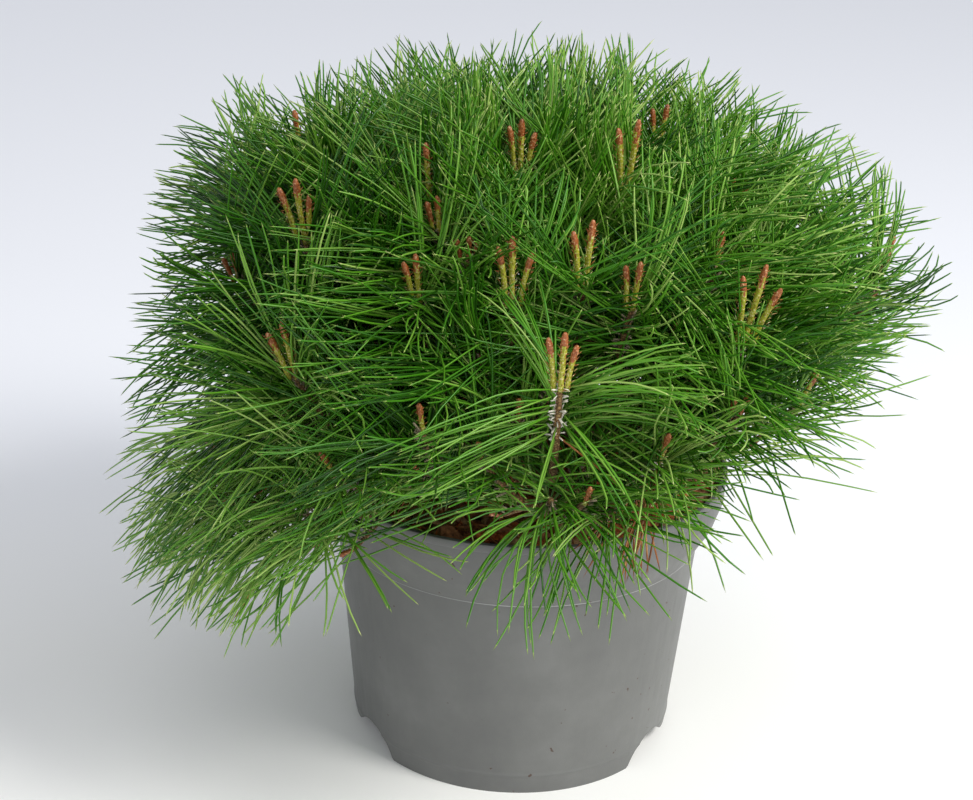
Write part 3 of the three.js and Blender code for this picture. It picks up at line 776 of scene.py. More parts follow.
# Shoots that the photograph shows by their candles: the foot of the candles in picture points,
# how many candles there are, and how tall the tallest is. The last rows are shoots without one
candle_shoots_in_picture = [
    (302, 238, 3, 0.036), (299, 152, 1, 0.026), (428, 192, 1, 0.030), (438, 227, 2, 0.018),
    (467, 254, 3, 0.010), (520, 172, 3, 0.032), (627, 196, 2, 0.046), (660, 142, 2, 0.024),
    (585, 285, 2, 0.038), (512, 300, 3, 0.038), (634, 304, 2, 0.026), (743, 192, 4, 0.009),
    (717, 266, 1, 0.020), (746, 340, 3, 0.046), (560, 385, 3, 0.032), (662, 464, 1, 0.022),
    (585, 502, 1, 0.014), (422, 432, 1, 0.018), (334, 476, 1, 0.020), (293, 375, 2, 0.034),
    (799, 410, 1, 0.028), (236, 276, 2, 0.014), (418, 298, 2, 0.026), (741, 414, 2, 0.011),
    (248, 180, 1, 0.010), (549, 154, 1, 0.010), (893, 250, 1, 0.008), (552, 498, 0, 0), (206, 446, 0, 0),
    (218, 500, 0, 0), (270, 548, 0, 0), (615, 512, 0, 0), (880, 290, 0, 0), (306, 515, 0, 0),
]
crown_random = np.random.default_rng(20260)


def crown_reach(toward):
    """How far the crown reaches from its centre: a superellipse, rounder above than below its widest line.

    The reach is (wide^n + high^n)^(-1/n), times 1 + share·exp(−2·(1 − cos gap)/width²) for each swell,
    whose gap is the angle to its middle. The crown hangs lower on the left."""
    flat = np.maximum(np.hypot(toward[..., 0], toward[..., 1]), 1e-9)
    rightness = toward[..., 0] / flat
    drop = crown_drop - crown_drop_to_the_left * rightness
    wide = np.hypot(toward[..., 0] / crown_reach_x, toward[..., 1] / crown_reach_y)
    above = toward[..., 2] > 0
    high = np.abs(toward[..., 2]) / np.where(above, crown_rise, drop)
    roundness = np.where(above, dome_roundness + dome_roundness_to_the_right * rightness,
                         skirt_roundness - skirt_roundness_to_the_left * rightness)
    reach = (wide**roundness + high**roundness) ** (-1 / roundness)
    for azimuth, elevation, width, share in crown_swells:
        gap = 1 - toward @ direction(np.radians(azimuth - 90), np.radians(elevation))
        reach = reach * (1 + share * np.exp(-2 * gap / np.radians(width) ** 2))
    return reach


def skirt_height(points):
    """The lowest that the crown hangs: read over the azimuth near and far, and straight in between."""
    azimuth = np.degrees(np.arctan2(points[..., 0], -points[..., 1]))
    near = np.interp(azimuth, skirt_azimuths, skirt_near_heights)
    far = np.interp(azimuth, skirt_azimuths, skirt_far_heights)
    out = np.hypot(points[..., 0], points[..., 1]) - skirt_near_radius
    return near + (far - near) * np.clip(out / (skirt_far_radius - skirt_near_radius), 0, skirt_goes_on)


def lattice_shoots():
    """Tips spread by the golden angle over a shell inside the crown, from its top down to its skirt."""
    place = np.arange(shoot_count)
    sine = 1 - (place + 0.5) / shoot_count * (1 - np.cos(np.radians(lowest_shoot_angle)))
    toward = direction(np.radians(first_shoot_azimuth) + place * golden_angle, np.arcsin(sine))
    depth = shoot_shell_depth + crown_random.uniform(0, shoot_depth_spread, shoot_count)
    tips = crown_centre + toward * (crown_reach(toward) - depth)[:, None]
    tips[:, 2] -= sag_to_the_left * np.maximum(sag_below - sine, 0) * (1 - toward[:, 0])
    return tips[tips[:, 2] > skirt_height(tips) + shoot_over_skirt]


def shell_behind(pixels):
    """Where a picture point's sight line first enters the shell of shoot tips, or is nearest to it."""
    points = camera_place + sight_distances[:, None] * sight_lines(pixels)[:, None]
    offset = points - crown_centre
    depth = np.where(np.arange(len(pixels)) == open_shoot, open_shoot_depth, shown_shoot_depth)[:, None]
    outside = np.linalg.norm(offset, axis=-1) - crown_reach(unit(offset)) + depth
    entry = np.where((outside < 0).any(1), (outside < 0).argmax(1), outside.argmin(1))
    return points[np.arange(len(points)), entry]


shown = np.array(candle_shoots_in_picture)
shown_tips = shell_behind(shown[:, :2])
main_tips = lattice_shoots()
shown_shoot = np.full(len(main_tips), -1)
for number, tip in enumerate(shown_tips):
    distance = np.linalg.norm(main_tips - tip, axis=1) + (shown_shoot >= 0)
    nearest = int(distance.argmin())
    if distance[nearest] < moved_at_most:
        main_tips[nearest] = tip
        shown_shoot[nearest] = number
    else:
        main_tips = np.concatenate([main_tips, tip[None]])
        shown_shoot = np.append(shown_shoot, number)

sites = np.array([bough["site"] for bough in boughs])
main_toward = unit(main_tips - crown_centre)
main_owner = (main_toward @ sites.T).argmax(1)


def leaning_up(toward):
    """A shoot's heading: from straight out, turned towards the light. A low shoot turns less."""
    share = np.interp(toward[:, 2], upright_from, [low_upright_share, upright_share])[:, None]
    return unit(toward * (1 - share) + straight_up * share)


def bezier(start, leaving, arriving, end, shares):
    """Cubic Bezier curves, one for each row of the four control points."""
    s = shares[None, :, None]
    start, leaving, arriving, end = (points[:, None] for points in (start, leaving, arriving, end))
    return ((1 - s) ** 3 * start + 3 * s * (1 - s) ** 2 * leaving
            + 3 * s**2 * (1 - s) * arriving + s**3 * end)


def twig_paths(starts, headings, tips, axes):
    """From a knot or fork along its heading, easing into the shoot's own axis, then straight to its tip."""
    feet = tips - axes * spray_length
    span = np.linalg.norm(feet - starts, axis=1, keepdims=True) * twig_ease
    curve = bezier(starts, starts + headings * span, feet - axes * span, feet,
                   np.linspace(0, 1, twig_rings - straight_rings))
    along = np.linspace(first_straight_ring, 1, straight_rings)[None, :, None]
    return np.concatenate([curve, feet[:, None] + axes[:, None] * spray_length * along], 1)


main_axes = leaning_up(main_toward)
main_axes[shown_shoot == open_shoot] = direction(np.radians(-90), np.radians(open_shoot_elevation))
knots = np.array([boughs[owner]["knot"] for owner in main_owner])
knot_headings = np.array([boughs[owner]["heading"] for owner in main_owner])
main_paths = twig_paths(knots, knot_headings, main_tips, main_axes)

# Side shoots: tried round each main shoot, and kept where they have room
side_tips, side_parent = [], []
taken = list(main_tips)
for parent in crown_random.permutation(len(main_tips)):
    axis = main_toward[parent]
    sideways = unit(np.cross(axis, beside_side_shoots))
    across = np.cross(axis, sideways)
    first_turn = crown_random.uniform(0, 2 * np.pi)
    for attempt in range(side_shoots_tried):
        turn = first_turn + attempt * 2 * np.pi / side_shoots_tried
        aside = side_shoot_reach * crown_random.uniform(*side_shoot_reaches)
        deeper = crown_random.uniform(*side_shoot_depths)
        tip = (main_tips[parent] + aside * (np.cos(turn) * sideways + np.sin(turn) * across)
               - axis * deeper)
        offset = tip - crown_centre
        over_pot = np.hypot(tip[0], tip[1]) < pot_rim_radius + shoot_past_rim
        in_pot = over_pot and tip[2] < pot_height + shoot_over_rim
        bare = tip[2] < skirt_height(tip) + shoot_over_skirt
        shell = crown_reach(unit(offset)) - shoot_shell_depth
        too_far = np.linalg.norm(offset) > shell + side_shoot_further
        crowded = np.linalg.norm(np.array(taken) - tip, axis=1).min() < side_shoot_room
        if not (in_pot or bare or too_far or crowded):
            side_tips.append(tip)
            side_parent.append(parent)
            taken.append(tip)

side_tips = np.array(side_tips)
side_parent = np.array(side_parent)
side_lean = side_shoot_lean * unit(side_tips - main_tips[side_parent])
side_axes = unit(leaning_up(unit(side_tips - crown_centre)) + side_lean)
fork_ring = int(side_shoot_fork * twig_rings)
forks = main_paths[side_parent, fork_ring]
fork_headings = unit(main_paths[side_parent, fork_ring + 1] - forks)
side_paths = twig_paths(forks, unit(fork_headings + side_axes), side_tips, side_axes)

tips = np.concatenate([main_tips, side_tips])
axes = np.concatenate([main_axes, side_axes])
owner = np.concatenate([main_owner, main_owner[side_parent]])
is_main = np.arange(len(tips)) < len(main_tips)
twig_path = np.concatenate([main_paths, side_paths])

young_bark = bark_material("young scaly shoot bark", "#2a190b", "#735028", "#b8935c", 520)
twig_girth = twig_tip_radius + (twig_root_radius - twig_tip_radius) * np.linspace(1, 0, twig_rings)
twig_share = np.where(is_main, 1.0, side_twig_girth)[:, None, None]
scars = crown_random.normal(1.0, bark_scar_spread, (len(tips), twig_rings, twig_sides))
twig_radii = twig_girth[None, :, None] * twig_share * scars
for number, bough in enumerate(boughs):
    own = owner == number
    make_piece(f"twigs_{bough['label']}", *tubes(twig_path[own], twig_radii[own], twig_sides)[:2],
               [young_bark], "bark", stands_for=[f"needles_{bough['label']}"])


# Candles: the new growth of the year stands up from the shoot tips, one to four together. A tall
# one has a yellow-green shaft under a red-brown bud, and a resting shoot only has a short bud.
candle_radius = 0.0018
bud_radius = 0.0012
full_candle_height = 0.035
candle_sunk = 0.004
candle_splay = 0.12
candle_aside = 0.0030
lone_candle_aside = 0.25
candle_in_depth = 0.18
candle_lean = 0.10
candle_ripple = 0.11
candle_ripple_length = 0.0042
candle_wobble = 0.03
candle_size_steps = np.array([1.0, 0.86, 0.74, 0.55])
shown_candle_places = np.array([0.1, -1.2, 1.4, 0.5])
candle_stations = np.array([
    0, 0.08, 0.18, 0.28, 0.38, 0.48, 0.57, 0.65, 0.72, 0.79, 0.86, 0.92, 0.96, 0.985, 1.0])
candle_girth = np.array([
    0.86, 0.90, 0.88, 0.88, 0.88, 0.90, 0.93, 0.97, 1.04, 1.10, 1.10, 0.97, 0.78, 0.52, 0.0])
candle_sides = 10
candle_upright_from = (-0.15, 0.25)
candle_upright_shares = (0.35, 1.1)
beside_candles = [0.3, 0.5, 0.2]
red_spread = 0.06
candle_share_of_the_rest = 0.55
candle_heights_of_the_rest = (0.014, 0.038)
bud_height = 0.010
bud_heights = (0.7, 1.2)
scale_spacing = 0.00075
scale_length = 0.0036
scale_lengths = (0.6, 1.2)
scale_lean = (0.5, 1.6)
scale_radius = 0.00036
fewest_scales = 3
last_scale = 0.9
scale_on_candle = 0.8
shortest_scale = 0.5
red_scale_share = 0.35
toward_camera = 0.12
candle_random = np.random.default_rng(88)

# Where the red-brown part starts up a candle and among its scales, for candles of these heights
red_heights = (0.010, 0.018, 0.040)
red_starts = (-0.1, 0.56, 0.74)
red_scale_starts = (-0.1, 0.40, 0.62)

shown_of_shoot = np.concatenate([shown_shoot, np.full(len(side_tips), -1)])
toward = unit(tips - crown_centre)
faces_camera = (toward @ unit(camera_place - crown_centre)) > toward_camera


def plan_candles():
    """Shoot, rank in its cluster, cluster's size and height of every candle and bud.

    The shown ones are as the photograph has them, and the others follow a seeded rule."""
    planned = []
    for shoot, number in enumerate(shown_of_shoot):
        if number >= 0:
            count = int(shown[number, 2])
            tallest = shown[number, 3]
        elif (is_main[shoot] and not faces_camera[shoot]
              and candle_random.random() < candle_share_of_the_rest):
            count = int(candle_random.integers(1, 4))
            tallest = candle_random.uniform(*candle_heights_of_the_rest)
        else:
            count = 1
            tallest = bud_height * candle_random.uniform(*bud_heights)
        planned += [(shoot, rank, count, tallest * candle_size_steps[rank]) for rank in range(count)]
    return (np.array(values) for values in zip(*planned))


candle_shoot, candle_rank, candle_mates, candle_height = plan_candles()
first_turn_of_shoot = candle_random.uniform(0, 6.28, len(tips))
candle_turn = (candle_rank * 2 * np.pi / np.maximum(candle_mates, 2)
               + first_turn_of_shoot[candle_shoot])[:, None]
candle_axis = axes[candle_shoot]
uprightness = np.interp(toward[candle_shoot, 2], candle_upright_from, candle_upright_shares)[:, None]
candle_upright = unit(candle_axis + uprightness * straight_up)
candle_side = unit(np.cross(candle_upright, beside_candles))
candle_across = np.cross(candle_upright, candle_side)
apart = np.cos(candle_turn) * candle_side + np.sin(candle_turn) * candle_across
apart = apart * np.where(candle_mates > 1, 1.0, lone_candle_aside)[:, None]
beside = shown_candle_places[candle_rank][:, None] * picture_right + candle_in_depth * apart
is_shown_cluster = (shown_of_shoot[candle_shoot] >= 0) & (candle_mates > 1)
apart = np.where(is_shown_cluster[:, None], beside, apart)
candle_heading = unit(candle_upright + candle_splay * apart)
candle_foot = tips[candle_shoot] - candle_axis * candle_sunk + apart * candle_aside
candle_top = candle_foot + candle_heading * (candle_height + candle_sunk)[:, None]
tallness = np.minimum(candle_height / full_candle_height, 1)
candle_girths = bud_radius + (candle_radius - bud_radius) * tallness


def candle_bodies():
    """Closed round candles that curve a little, with their scales as ripples.

    A path is foot + s·run + (s² − s)·lean. A radius is girth·(1 + ripple·cos(3·angle + 2π·ring))."""
    s = candle_stations[None, :, None]
    lean = apart[:, None] * (candle_height * candle_lean)[:, None, None]
    paths = candle_foot[:, None] + s * (candle_top - candle_foot)[:, None] + (s**2 - s) * lean
    ring = s * candle_height[:, None, None] / candle_ripple_length
    around = np.arange(candle_sides)[None, None] * 2 * np.pi / candle_sides
    ripples = 1 + candle_ripple * np.cos(3 * around + 2 * np.pi * ring)
    ripples = ripples + candle_random.normal(0, candle_wobble, (1, 1, candle_sides))
    return paths, candle_girths[:, None, None] * candle_girth[None, :, None] * ripples


def candle_material(name, shade, main, pale_fleck_and_highlight, fleck_from, roughness):
    """Fresh pine shoot: waxy tissue under papery scales, whose fringes show as flecks 1 mm across.
    On a red-brown bud the pale flecks are partly a painted highlight of its gloss.
    """
    stops = [(0.34, shade), (0.46, main), (fleck_from, main), (fleck_from + 0.10, pale_fleck_and_highlight)]
    return noise_material(name, (900, 3, 0.6), stops, (0.5, 0.0006), IOR=1.45, Roughness=roughness)


candle_materials = [
    candle_material("yellow-green shoot", "#70731f", "#a0a128", "#cfc38c", 0.54, 0.5),
    # Its pale flecks are partly pale scale fringes and partly a painted highlight.
    candle_material("red-brown bud scales", "#67331a", "#9a572c", "#d6aa80", 0.56, 0.36),
]
candle_paths, candle_radii = candle_bodies()
candle_vertices, candle_faces, candle_of_face, ring_of_face = tubes(
    candle_paths, candle_radii, candle_sides)
red_from = np.interp(candle_height, red_heights, red_starts)
red_from = red_from[candle_of_face] + candle_random.normal(0, red_spread, len(candle_of_face))
is_red = candle_stations[ring_of_face] > red_from
make_piece("candles", candle_vertices, candle_faces, candle_materials, "needles",
           face_materials=is_red.astype(int))


def candle_scales():
    """Tips of the papery scales: tiny spikes that leave the candle at a golden angle, out and forward."""
    count = np.maximum((candle_height / scale_spacing).astype(int), fewest_scales)
    of = np.repeat(np.arange(len(candle_height)), count)
    place = np.concatenate([(np.arange(n) + 0.5) / n for n in count]) * last_scale
    around = (np.arange(len(of)) * golden_angle)[:, None]
    outward = np.cos(around) * candle_side[of] + np.sin(around) * candle_across[of]
    root = (candle_foot[of] + place[:, None] * (candle_top - candle_foot)[of]
            + outward * candle_girths[of, None] * scale_on_candle)
    forward = candle_random.uniform(*scale_lean, len(of))[:, None]
    out = unit(outward + candle_heading[of] * forward)
    size = scale_length * candle_random.uniform(*scale_lengths, len(of))
    size = size * (shortest_scale + (1 - shortest_scale) * tallness[of])
    paths = np.stack([root, root + out * size[:, None]], 1)
    is_red = place > np.interp(candle_height[of], red_heights, red_scale_starts)
    is_red |= candle_random.random(len(of)) < red_scale_share
    return paths, is_red.astype(int)


scale_paths, scale_kind = candle_scales()
scale_radii = np.full(scale_paths.shape[:2], scale_radius)
scale_vertices, scale_faces, scale_of_face, _ = tubes(scale_paths, scale_radii, 3)
scale_materials = [
    candle_material("straw-coloured bud scale", "#8a6a3c", "#b79d5e", "#e6dcbc", 0.5, 0.6),
    candle_material("red-brown bud scale tip", "#7a3e20", "#a05a2c", "#d2a274", 0.55, 0.6),
]
make_piece("candle_scales", scale_vertices, [group for group in scale_faces if len(group)],
           scale_materials, "needles", face_materials=scale_kind[scale_of_face])


# Needles: stiff, dark green and 8 to 11 cm long, in pairs, each held by a papery sheath. Each pair
# leaves the shoot at a golden angle from the last, wide at the foot of the spray, closer at its tip.
pairs_in_spray = 58
locks_in_spray = 9
lock_pull = 0.65
lock_place_weight = 2.2
lock_bend = 0.17
place_spread = 0.02
needle_angle_at_foot = 74
needle_angle_at_tip = 22
needle_angle_spread = 4
leaving_power = 1.15
opening_angles = (-6, 7)
root_on_twig = 0.8

# The shape of one needle, and how much needles differ
needle_length = 0.098
needle_shortest_grown = 0.076
needle_longest_grown = 0.108
shoot_length_spread = 0.04
pair_length_spread = 0.06
own_length_spread = 0.015
needle_radius = 0.00064
needle_stations = np.array([0, 0.20, 0.42, 0.64, 0.84, 0.965, 1.0])
needle_thickness = np.array([0.80, 1.0, 1.0, 0.97, 0.90, 0.66, 0.0])
needle_bend = 0.17
needle_wave = 0.15
bend_from_shoot = 0.06
own_bend_spread = 0.05
twin_half_angle = 4.0
twin_spread = 0.5
sheath_length = 0.0065
sheath_radius = 0.00085
sheath_tilt = 0.36
needle_in_sheath = 0.7
pale_sheath_shoots = (13, 14, 15, 18)
pale_sheath_share = 0.78

# How the needles of low shoots sink, and which of them are lost
needle_droop = 0.62
needle_droop_limit = 1.3
needle_weight = 0.16
needle_weight_when_low = 0.95
needle_weight_low_left = 0.55
needle_weight_spread = 0.35
own_weight_limits = (0.3, 1.8)
share_lost_when_low = 0.65
share_lost_at_the_back = 0.25
front_to_back = (-0.3, 0.2)
middle_to_right = (0.2, 0.7)

# How far out and how low needles may end
crown_overreach = 1.07
crown_overreach_spread = 0.06
crown_overreach_spread_at_right = 0.03
spray_reach_spread = 0.035
shortening_steps = 3
least_outward = 0.45
shortest_share = 0.62
needle_skirt_spread = 0.024
stray_share = 0.03
stray_share_at_right = 0.07
stray_below_skirt = 0.030
stray_further_at_right = 0.025
front_gap_lift = 0.020
front_gap_middle = -0.022
front_gap_width = 0.062
needle_lift_at_left = 0.012
crown_half_width = 0.25

# The room that needles leave round the pot, the boughs and the candles
needle_room_at_pot = 0.0015
dip_in_pot = 0.006
needle_room_at_limb = 0.002
limb_point_step = 6
needle_room_at_candle = 0.0042
tall_candle = 0.012
own_needle_station = 4
covered_share_of_candle = 0.35
test_stations = np.linspace(0.08, 1, 9)

# The one spray that opens towards the camera, so that its candle shows down to its stalk
open_spray_angle = 30
open_spray_weight = 0.25
open_spray_length = 0.84
open_spray_tone = 3.0
open_spray_room = 0.045
open_spray_front = 0.010
open_stalk_room = 0.008
stalk_in_the_open = 0.036
view_of_open_spray = 0.72

# A heading that no shoot has, to find the sides of each shoot
beside_every_shoot = np.array([0.13, 0.21, 1.0])

# The tries at growing each needle, until it is free: shares of its droop and of its length
growth_tries = [(1, 1), (0.6, 1), (0.25, 1), (1, 0.84), (0.5, 0.8), (0, 0.8), (0.3, 0.68)]

# Needles that hang over the pot's rim and low at the left
hanging_pull = 1.1
hanging_weight = 0.75
hanging_rise_aside = 0.45
hanging_height_spread = 0.012
hanging_spray_tone = 3.0

# Their shoots: the shoot, the share of its needles, the lowest height of their tips, where across the
# plant they hang lowest, and the heading that pulls them
hanging_tufts = np.array([
    (15, 0.20, 0.186, 0.018, 0.02, -0.80, -0.60), (16, 0.80, 0.189, 0.018, 0.02, -0.86, -0.64),
    (27, 0.75, 0.188, 0.018, 0.04, -0.86, -0.64), (31, 0.60, 0.190, 0.018, -0.12, -0.86, -0.64),
    (18, 0.30, 0.130, -0.150, -0.50, -0.40, -0.70), (30, 0.75, 0.124, -0.150, -0.35, -0.25, -0.85),
    (33, 0.45, 0.136, -0.155, -0.70, -0.20, -0.75),
])
needle_random = np.random.default_rng(73)

shoot_total = len(tips)
pair_shoot = np.repeat(np.arange(shoot_total), pairs_in_spray)
pair_rank = np.tile(np.arange(pairs_in_spray), shoot_total)
pair_total = len(pair_shoot)
along_spray = (pair_rank + 0.5) / pairs_in_spray + needle_random.normal(0, place_spread, pair_total)
along_spray = np.clip(along_spray, 0, 1)
turn = pair_rank * golden_angle + needle_random.uniform(0, 2 * np.pi, shoot_total)[pair_shoot]
is_open = shown_of_shoot == open_shoot
opening = needle_random.uniform(*opening_angles, shoot_total)
opening = np.where(is_open, open_spray_angle, opening)[pair_shoot]
lock_turn = needle_random.uniform(0, 2 * np.pi, (shoot_total, locks_in_spray))
lock_place = needle_random.uniform(0, 1, (shoot_total, locks_in_spray))


def nearest_lock():
    """The lock of its shoot that each pair joins, and the steps to it in turn and along the spray."""
    turn_step = (lock_turn[pair_shoot] - turn[:, None] + np.pi) % (2 * np.pi) - np.pi
    place_step = lock_place[pair_shoot] - along_spray[:, None]
    lock = (turn_step**2 + (lock_place_weight * place_step) ** 2).argmin(1)
    pick = np.arange(pair_total), lock
    return lock, turn_step[pick], place_step[pick]


pair_lock, turn_step, place_step = nearest_lock()
turn = turn + lock_pull * turn_step
leaving_place = np.clip(along_spray + lock_pull * place_step, 0, 1)
spread = needle_angle_at_foot + (needle_angle_at_tip - needle_angle_at_foot) * leaving_place**leaving_power
spread = spread + opening + needle_random.normal(0, needle_angle_spread, pair_total)
angle = np.radians(spread)[:, None]
shoot_side = unit(np.cross(axes, beside_every_shoot))
shoot_across = np.cross(axes, shoot_side)
radial = np.cos(turn)[:, None] * shoot_side[pair_shoot] + np.sin(turn)[:, None] * shoot_across[pair_shoot]
pair_axis = axes[pair_shoot]
pair_root = (tips[pair_shoot] + pair_axis * ((along_spray - 1) * spray_length)[:, None]
             + radial * twig_tip_radius * root_on_twig)
pair_heading = unit(np.cos(angle) * pair_axis + np.sin(angle) * radial)
lowness = np.maximum(sag_below - toward[:, 2], 0)[pair_shoot]
length = needle_length * needle_random.normal(1.0, shoot_length_spread, shoot_total)[pair_shoot]
length = length * needle_random.normal(1.0, pair_length_spread, pair_total)
length = np.clip(length, needle_shortest_grown, needle_longest_grown)
length = length * np.where(is_open, open_spray_length, 1.0)[pair_shoot]


def sunk(heading, low, share):
    """The heading of a low shoot's needle sinks: z less share·droop·lowness·(limit − z)."""
    lowered = heading.copy()
    lowered[:, 2] -= share * needle_droop * low * (needle_droop_limit - heading[:, 2])
    return unit(lowered)


# Two needles in each sheath, leaning apart, each with its own gentle bend and wave
needle_pair = np.repeat(np.arange(pair_total), 2)
needle_shoot = pair_shoot[needle_pair]
needle_total = len(needle_pair)
lean_apart = unit(np.cross(pair_heading, needle_random.normal(0, 1, (pair_total, 3))))
lean_angle = np.abs(needle_random.normal(1.0, twin_spread, pair_total))
lean_angle = lean_angle * np.tan(np.radians(twin_half_angle))
twin_lean = (lean_apart * lean_angle[:, None])[needle_pair] * np.tile([-1.0, 1.0], pair_total)[:, None]
spray_bend = needle_random.normal(0, needle_bend, (shoot_total, 3))
bend_of_lock = needle_random.normal(0, lock_bend, (shoot_total, locks_in_spray, 3))
pair_bend = spray_bend[pair_shoot] + bend_of_lock[pair_shoot, pair_lock] - bend_from_shoot * radial
own_bend = pair_bend[needle_pair] + needle_random.normal(0, own_bend_spread, (needle_total, 3))
own_wave = needle_random.normal(0, needle_wave, (needle_total, 3))
own_length = length[needle_pair] * needle_random.normal(1.0, own_length_spread, needle_total)
own_weight = np.clip(needle_random.normal(1.0, needle_weight_spread, needle_total), *own_weight_limits)
lost_share = np.interp(toward[:, 1], front_to_back, [share_lost_when_low, share_lost_at_the_back])
pair_is_lost = needle_random.random(pair_total) < lost_share[pair_shoot] * lowness
rightness = np.interp(toward[:, 0], middle_to_right, [0, 1])[needle_shoot]
overreach_spread = crown_overreach_spread + crown_overreach_spread_at_right * rightness
own_overreach = crown_overreach - overreach_spread * np.abs(needle_random.normal(0, 1, needle_total))
spray_reach = spray_reach_spread * np.abs(needle_random.normal(0, 1, shoot_total)) * ~is_open
own_overreach = own_overreach - spray_reach[needle_shoot]
is_tuft = shown_of_shoot[:, None] == hanging_tufts[:, 0]
tuft_of_needle = is_tuft.argmax(1)[needle_shoot]
hanging_chance = is_tuft @ hanging_tufts[:, 1]
hangs = needle_random.random(needle_total) < hanging_chance[needle_shoot]
hanging_lift = needle_random.normal(0, hanging_height_spread, needle_total)
stray_chance = stray_share + (stray_share_at_right - stray_share) * rightness
stray = needle_random.random(needle_total) < stray_chance
stray_depth = (stray_below_skirt + stray_further_at_right * rightness) * stray
skirt_lift = needle_skirt_spread * np.abs(needle_random.normal(0, 1, needle_total)) - stray_depth


def needle_curves(which, droop_share, stations):
    """Centre lines: sheath end + length·(s·heading + s²/2·bend + s²(1 − s)·wave).

    The bend holds the needle's own weight. Returns the sheath ends, the brackets and the headings."""
    pair = needle_pair[which]
    shoot = needle_shoot[which]
    start = sunk(pair_heading[pair], lowness[pair], droop_share)
    pull = hanging_pull * droop_share * hangs[which]
    start = unit(start + pull[:, None] * hanging_tufts[tuft_of_needle[which], 4:])
    leftness = np.clip(-toward[shoot, 0], 0, 1)
    weight_when_low = needle_weight_when_low + needle_weight_low_left * leftness
    weight = needle_weight + weight_when_low * lowness[pair] + hanging_weight * hangs[which]
    weight = (weight * own_weight[which] + open_spray_weight * is_open[shoot]) * droop_share
    bend = own_bend[which] - weight[:, None] * straight_up
    s = stations[:, None]
    run = (s * unit(start + twin_lean[which])[:, None] + 0.5 * s**2 * bend[:, None]
           + s**2 * (1 - s) * own_wave[which][:, None])
    return pair_root[pair] + start * sheath_length * needle_in_sheath, run, start


def shortened(root, run, size, limit):
    """The length at which a needle's tip keeps within its share of the crown's reach.

    The tip steps back along the needle by what it is over the limit, divided by its outward share."""
    for _ in range(shortening_steps):
        offset = root + run[:, -1] * size[:, None] - crown_centre
        distance = np.linalg.norm(offset, axis=1)
        over = distance - crown_reach(offset / distance[:, None]) * limit
        outward = np.maximum((unit(run[:, -1]) * offset / distance[:, None]).sum(1), least_outward)
        size = np.where(over > 0, size - over / outward, size)
    return size


def clear_of_pot(points):
    """True where a needle's points all miss the pot's wall, the soil and the floor."""
    flat = np.hypot(points[..., 0], points[..., 1])
    height = points[..., 2]
    in_mouth = flat < pot_neck_radius - pot_wall - needle_room_at_pot
    over_soil = in_mouth & (height > pot_height - dip_in_pot)
    under_rim = height < pot_height + needle_room_at_pot
    inside = under_rim & (flat < pot_outer_radius(height) + needle_room_at_pot) & ~over_soil
    return ~(inside | (height < needle_room_at_pot)).any(1)


def clear_of_limbs(points):
    """True where a needle's points are all further from each bough's points than its radius."""
    clear = np.ones(len(points), bool)
    for bough in boughs:
        reach = bough["radius"][::limb_point_step] + needle_room_at_limb
        distance = np.linalg.norm(points[:, :, None] - bough["path"][::limb_point_step], axis=-1)
        clear &= ~(distance < reach).any((1, 2))
    return clear


def clear_of_candles(points, shoots):
    """True where a needle keeps off every tall candle and the light in front of it.

    Points in front of a candle are moved back along its light, and then measured to its middle line.
    A needle of the candle's own shoot only has to keep its outer part out of the light."""
    clear = np.ones(len(points), bool)
    for candle in np.flatnonzero(candle_height > tall_candle):
        shoot = candle_shoot[candle]
        is_shown = shown_of_shoot[shoot] >= 0
        light = unit(camera_place - candle_foot[candle]) if is_shown else toward[shoot]
        line = candle_top[candle] - candle_foot[candle]
        start = candle_foot[candle] + line * covered_share_of_candle
        room, front_room, front = needle_room_at_candle, needle_room_at_candle, needle_room_at_candle
        if is_open[shoot]:
            start = candle_foot[candle] - axes[shoot] * stalk_in_the_open
            room, front_room, front = open_stalk_room, open_spray_room, open_spray_front
        line = candle_top[candle] - start
        offset = points - start
        in_front = np.maximum(offset @ light - front, 0)
        offset = offset - in_front[..., None] * light
        share = np.clip((offset @ line) / (line @ line), 0, 1)
        distance = np.linalg.norm(offset - share[..., None] * line, axis=-1)
        free = distance > np.where(in_front > 0, front_room, room)
        own_free = True
        if is_shown and not is_open[shoot]:
            own_free = (free | (in_front <= 0))[:, own_needle_station:].all(1)
        clear &= np.where(shoots == shoot, own_free, free.all(1))
    return clear


def over_skirt(points, which):
    """True where a needle's tip stays above the crown's skirt, lifted by the needle's own draw.

    The skirt is a little higher at the left, and higher by lift·exp(−(step/width)²) over the front
    rim, where the bark mix shows."""
    tip = points[:, -1]
    lowest, middle = hanging_tufts[tuft_of_needle[which], 2:4].T
    hanging_low = lowest + hanging_rise_aside * np.abs(tip[:, 0] - middle) + hanging_lift[which]
    step = (tip[:, 0] - front_gap_middle) / front_gap_width
    front_gap = front_gap_lift * np.exp(-(step**2)) * (tip[:, 1] < 0)
    left_lift = needle_lift_at_left * np.clip(-tip[:, 0] / crown_half_width, 0, 1)
    own_low = skirt_height(tip) + skirt_lift[which] + front_gap + left_lift
    return tip[:, 2] > np.where(hangs[which], hanging_low, own_low)


def open_to_view(which):
    """False for the needles of an open spray that point at the camera and would hide its stalk."""
    facing = pair_heading[needle_pair[which]] @ unit(camera_place - crown_centre)
    return ~(is_open[needle_shoot[which]] & (facing > view_of_open_spray))


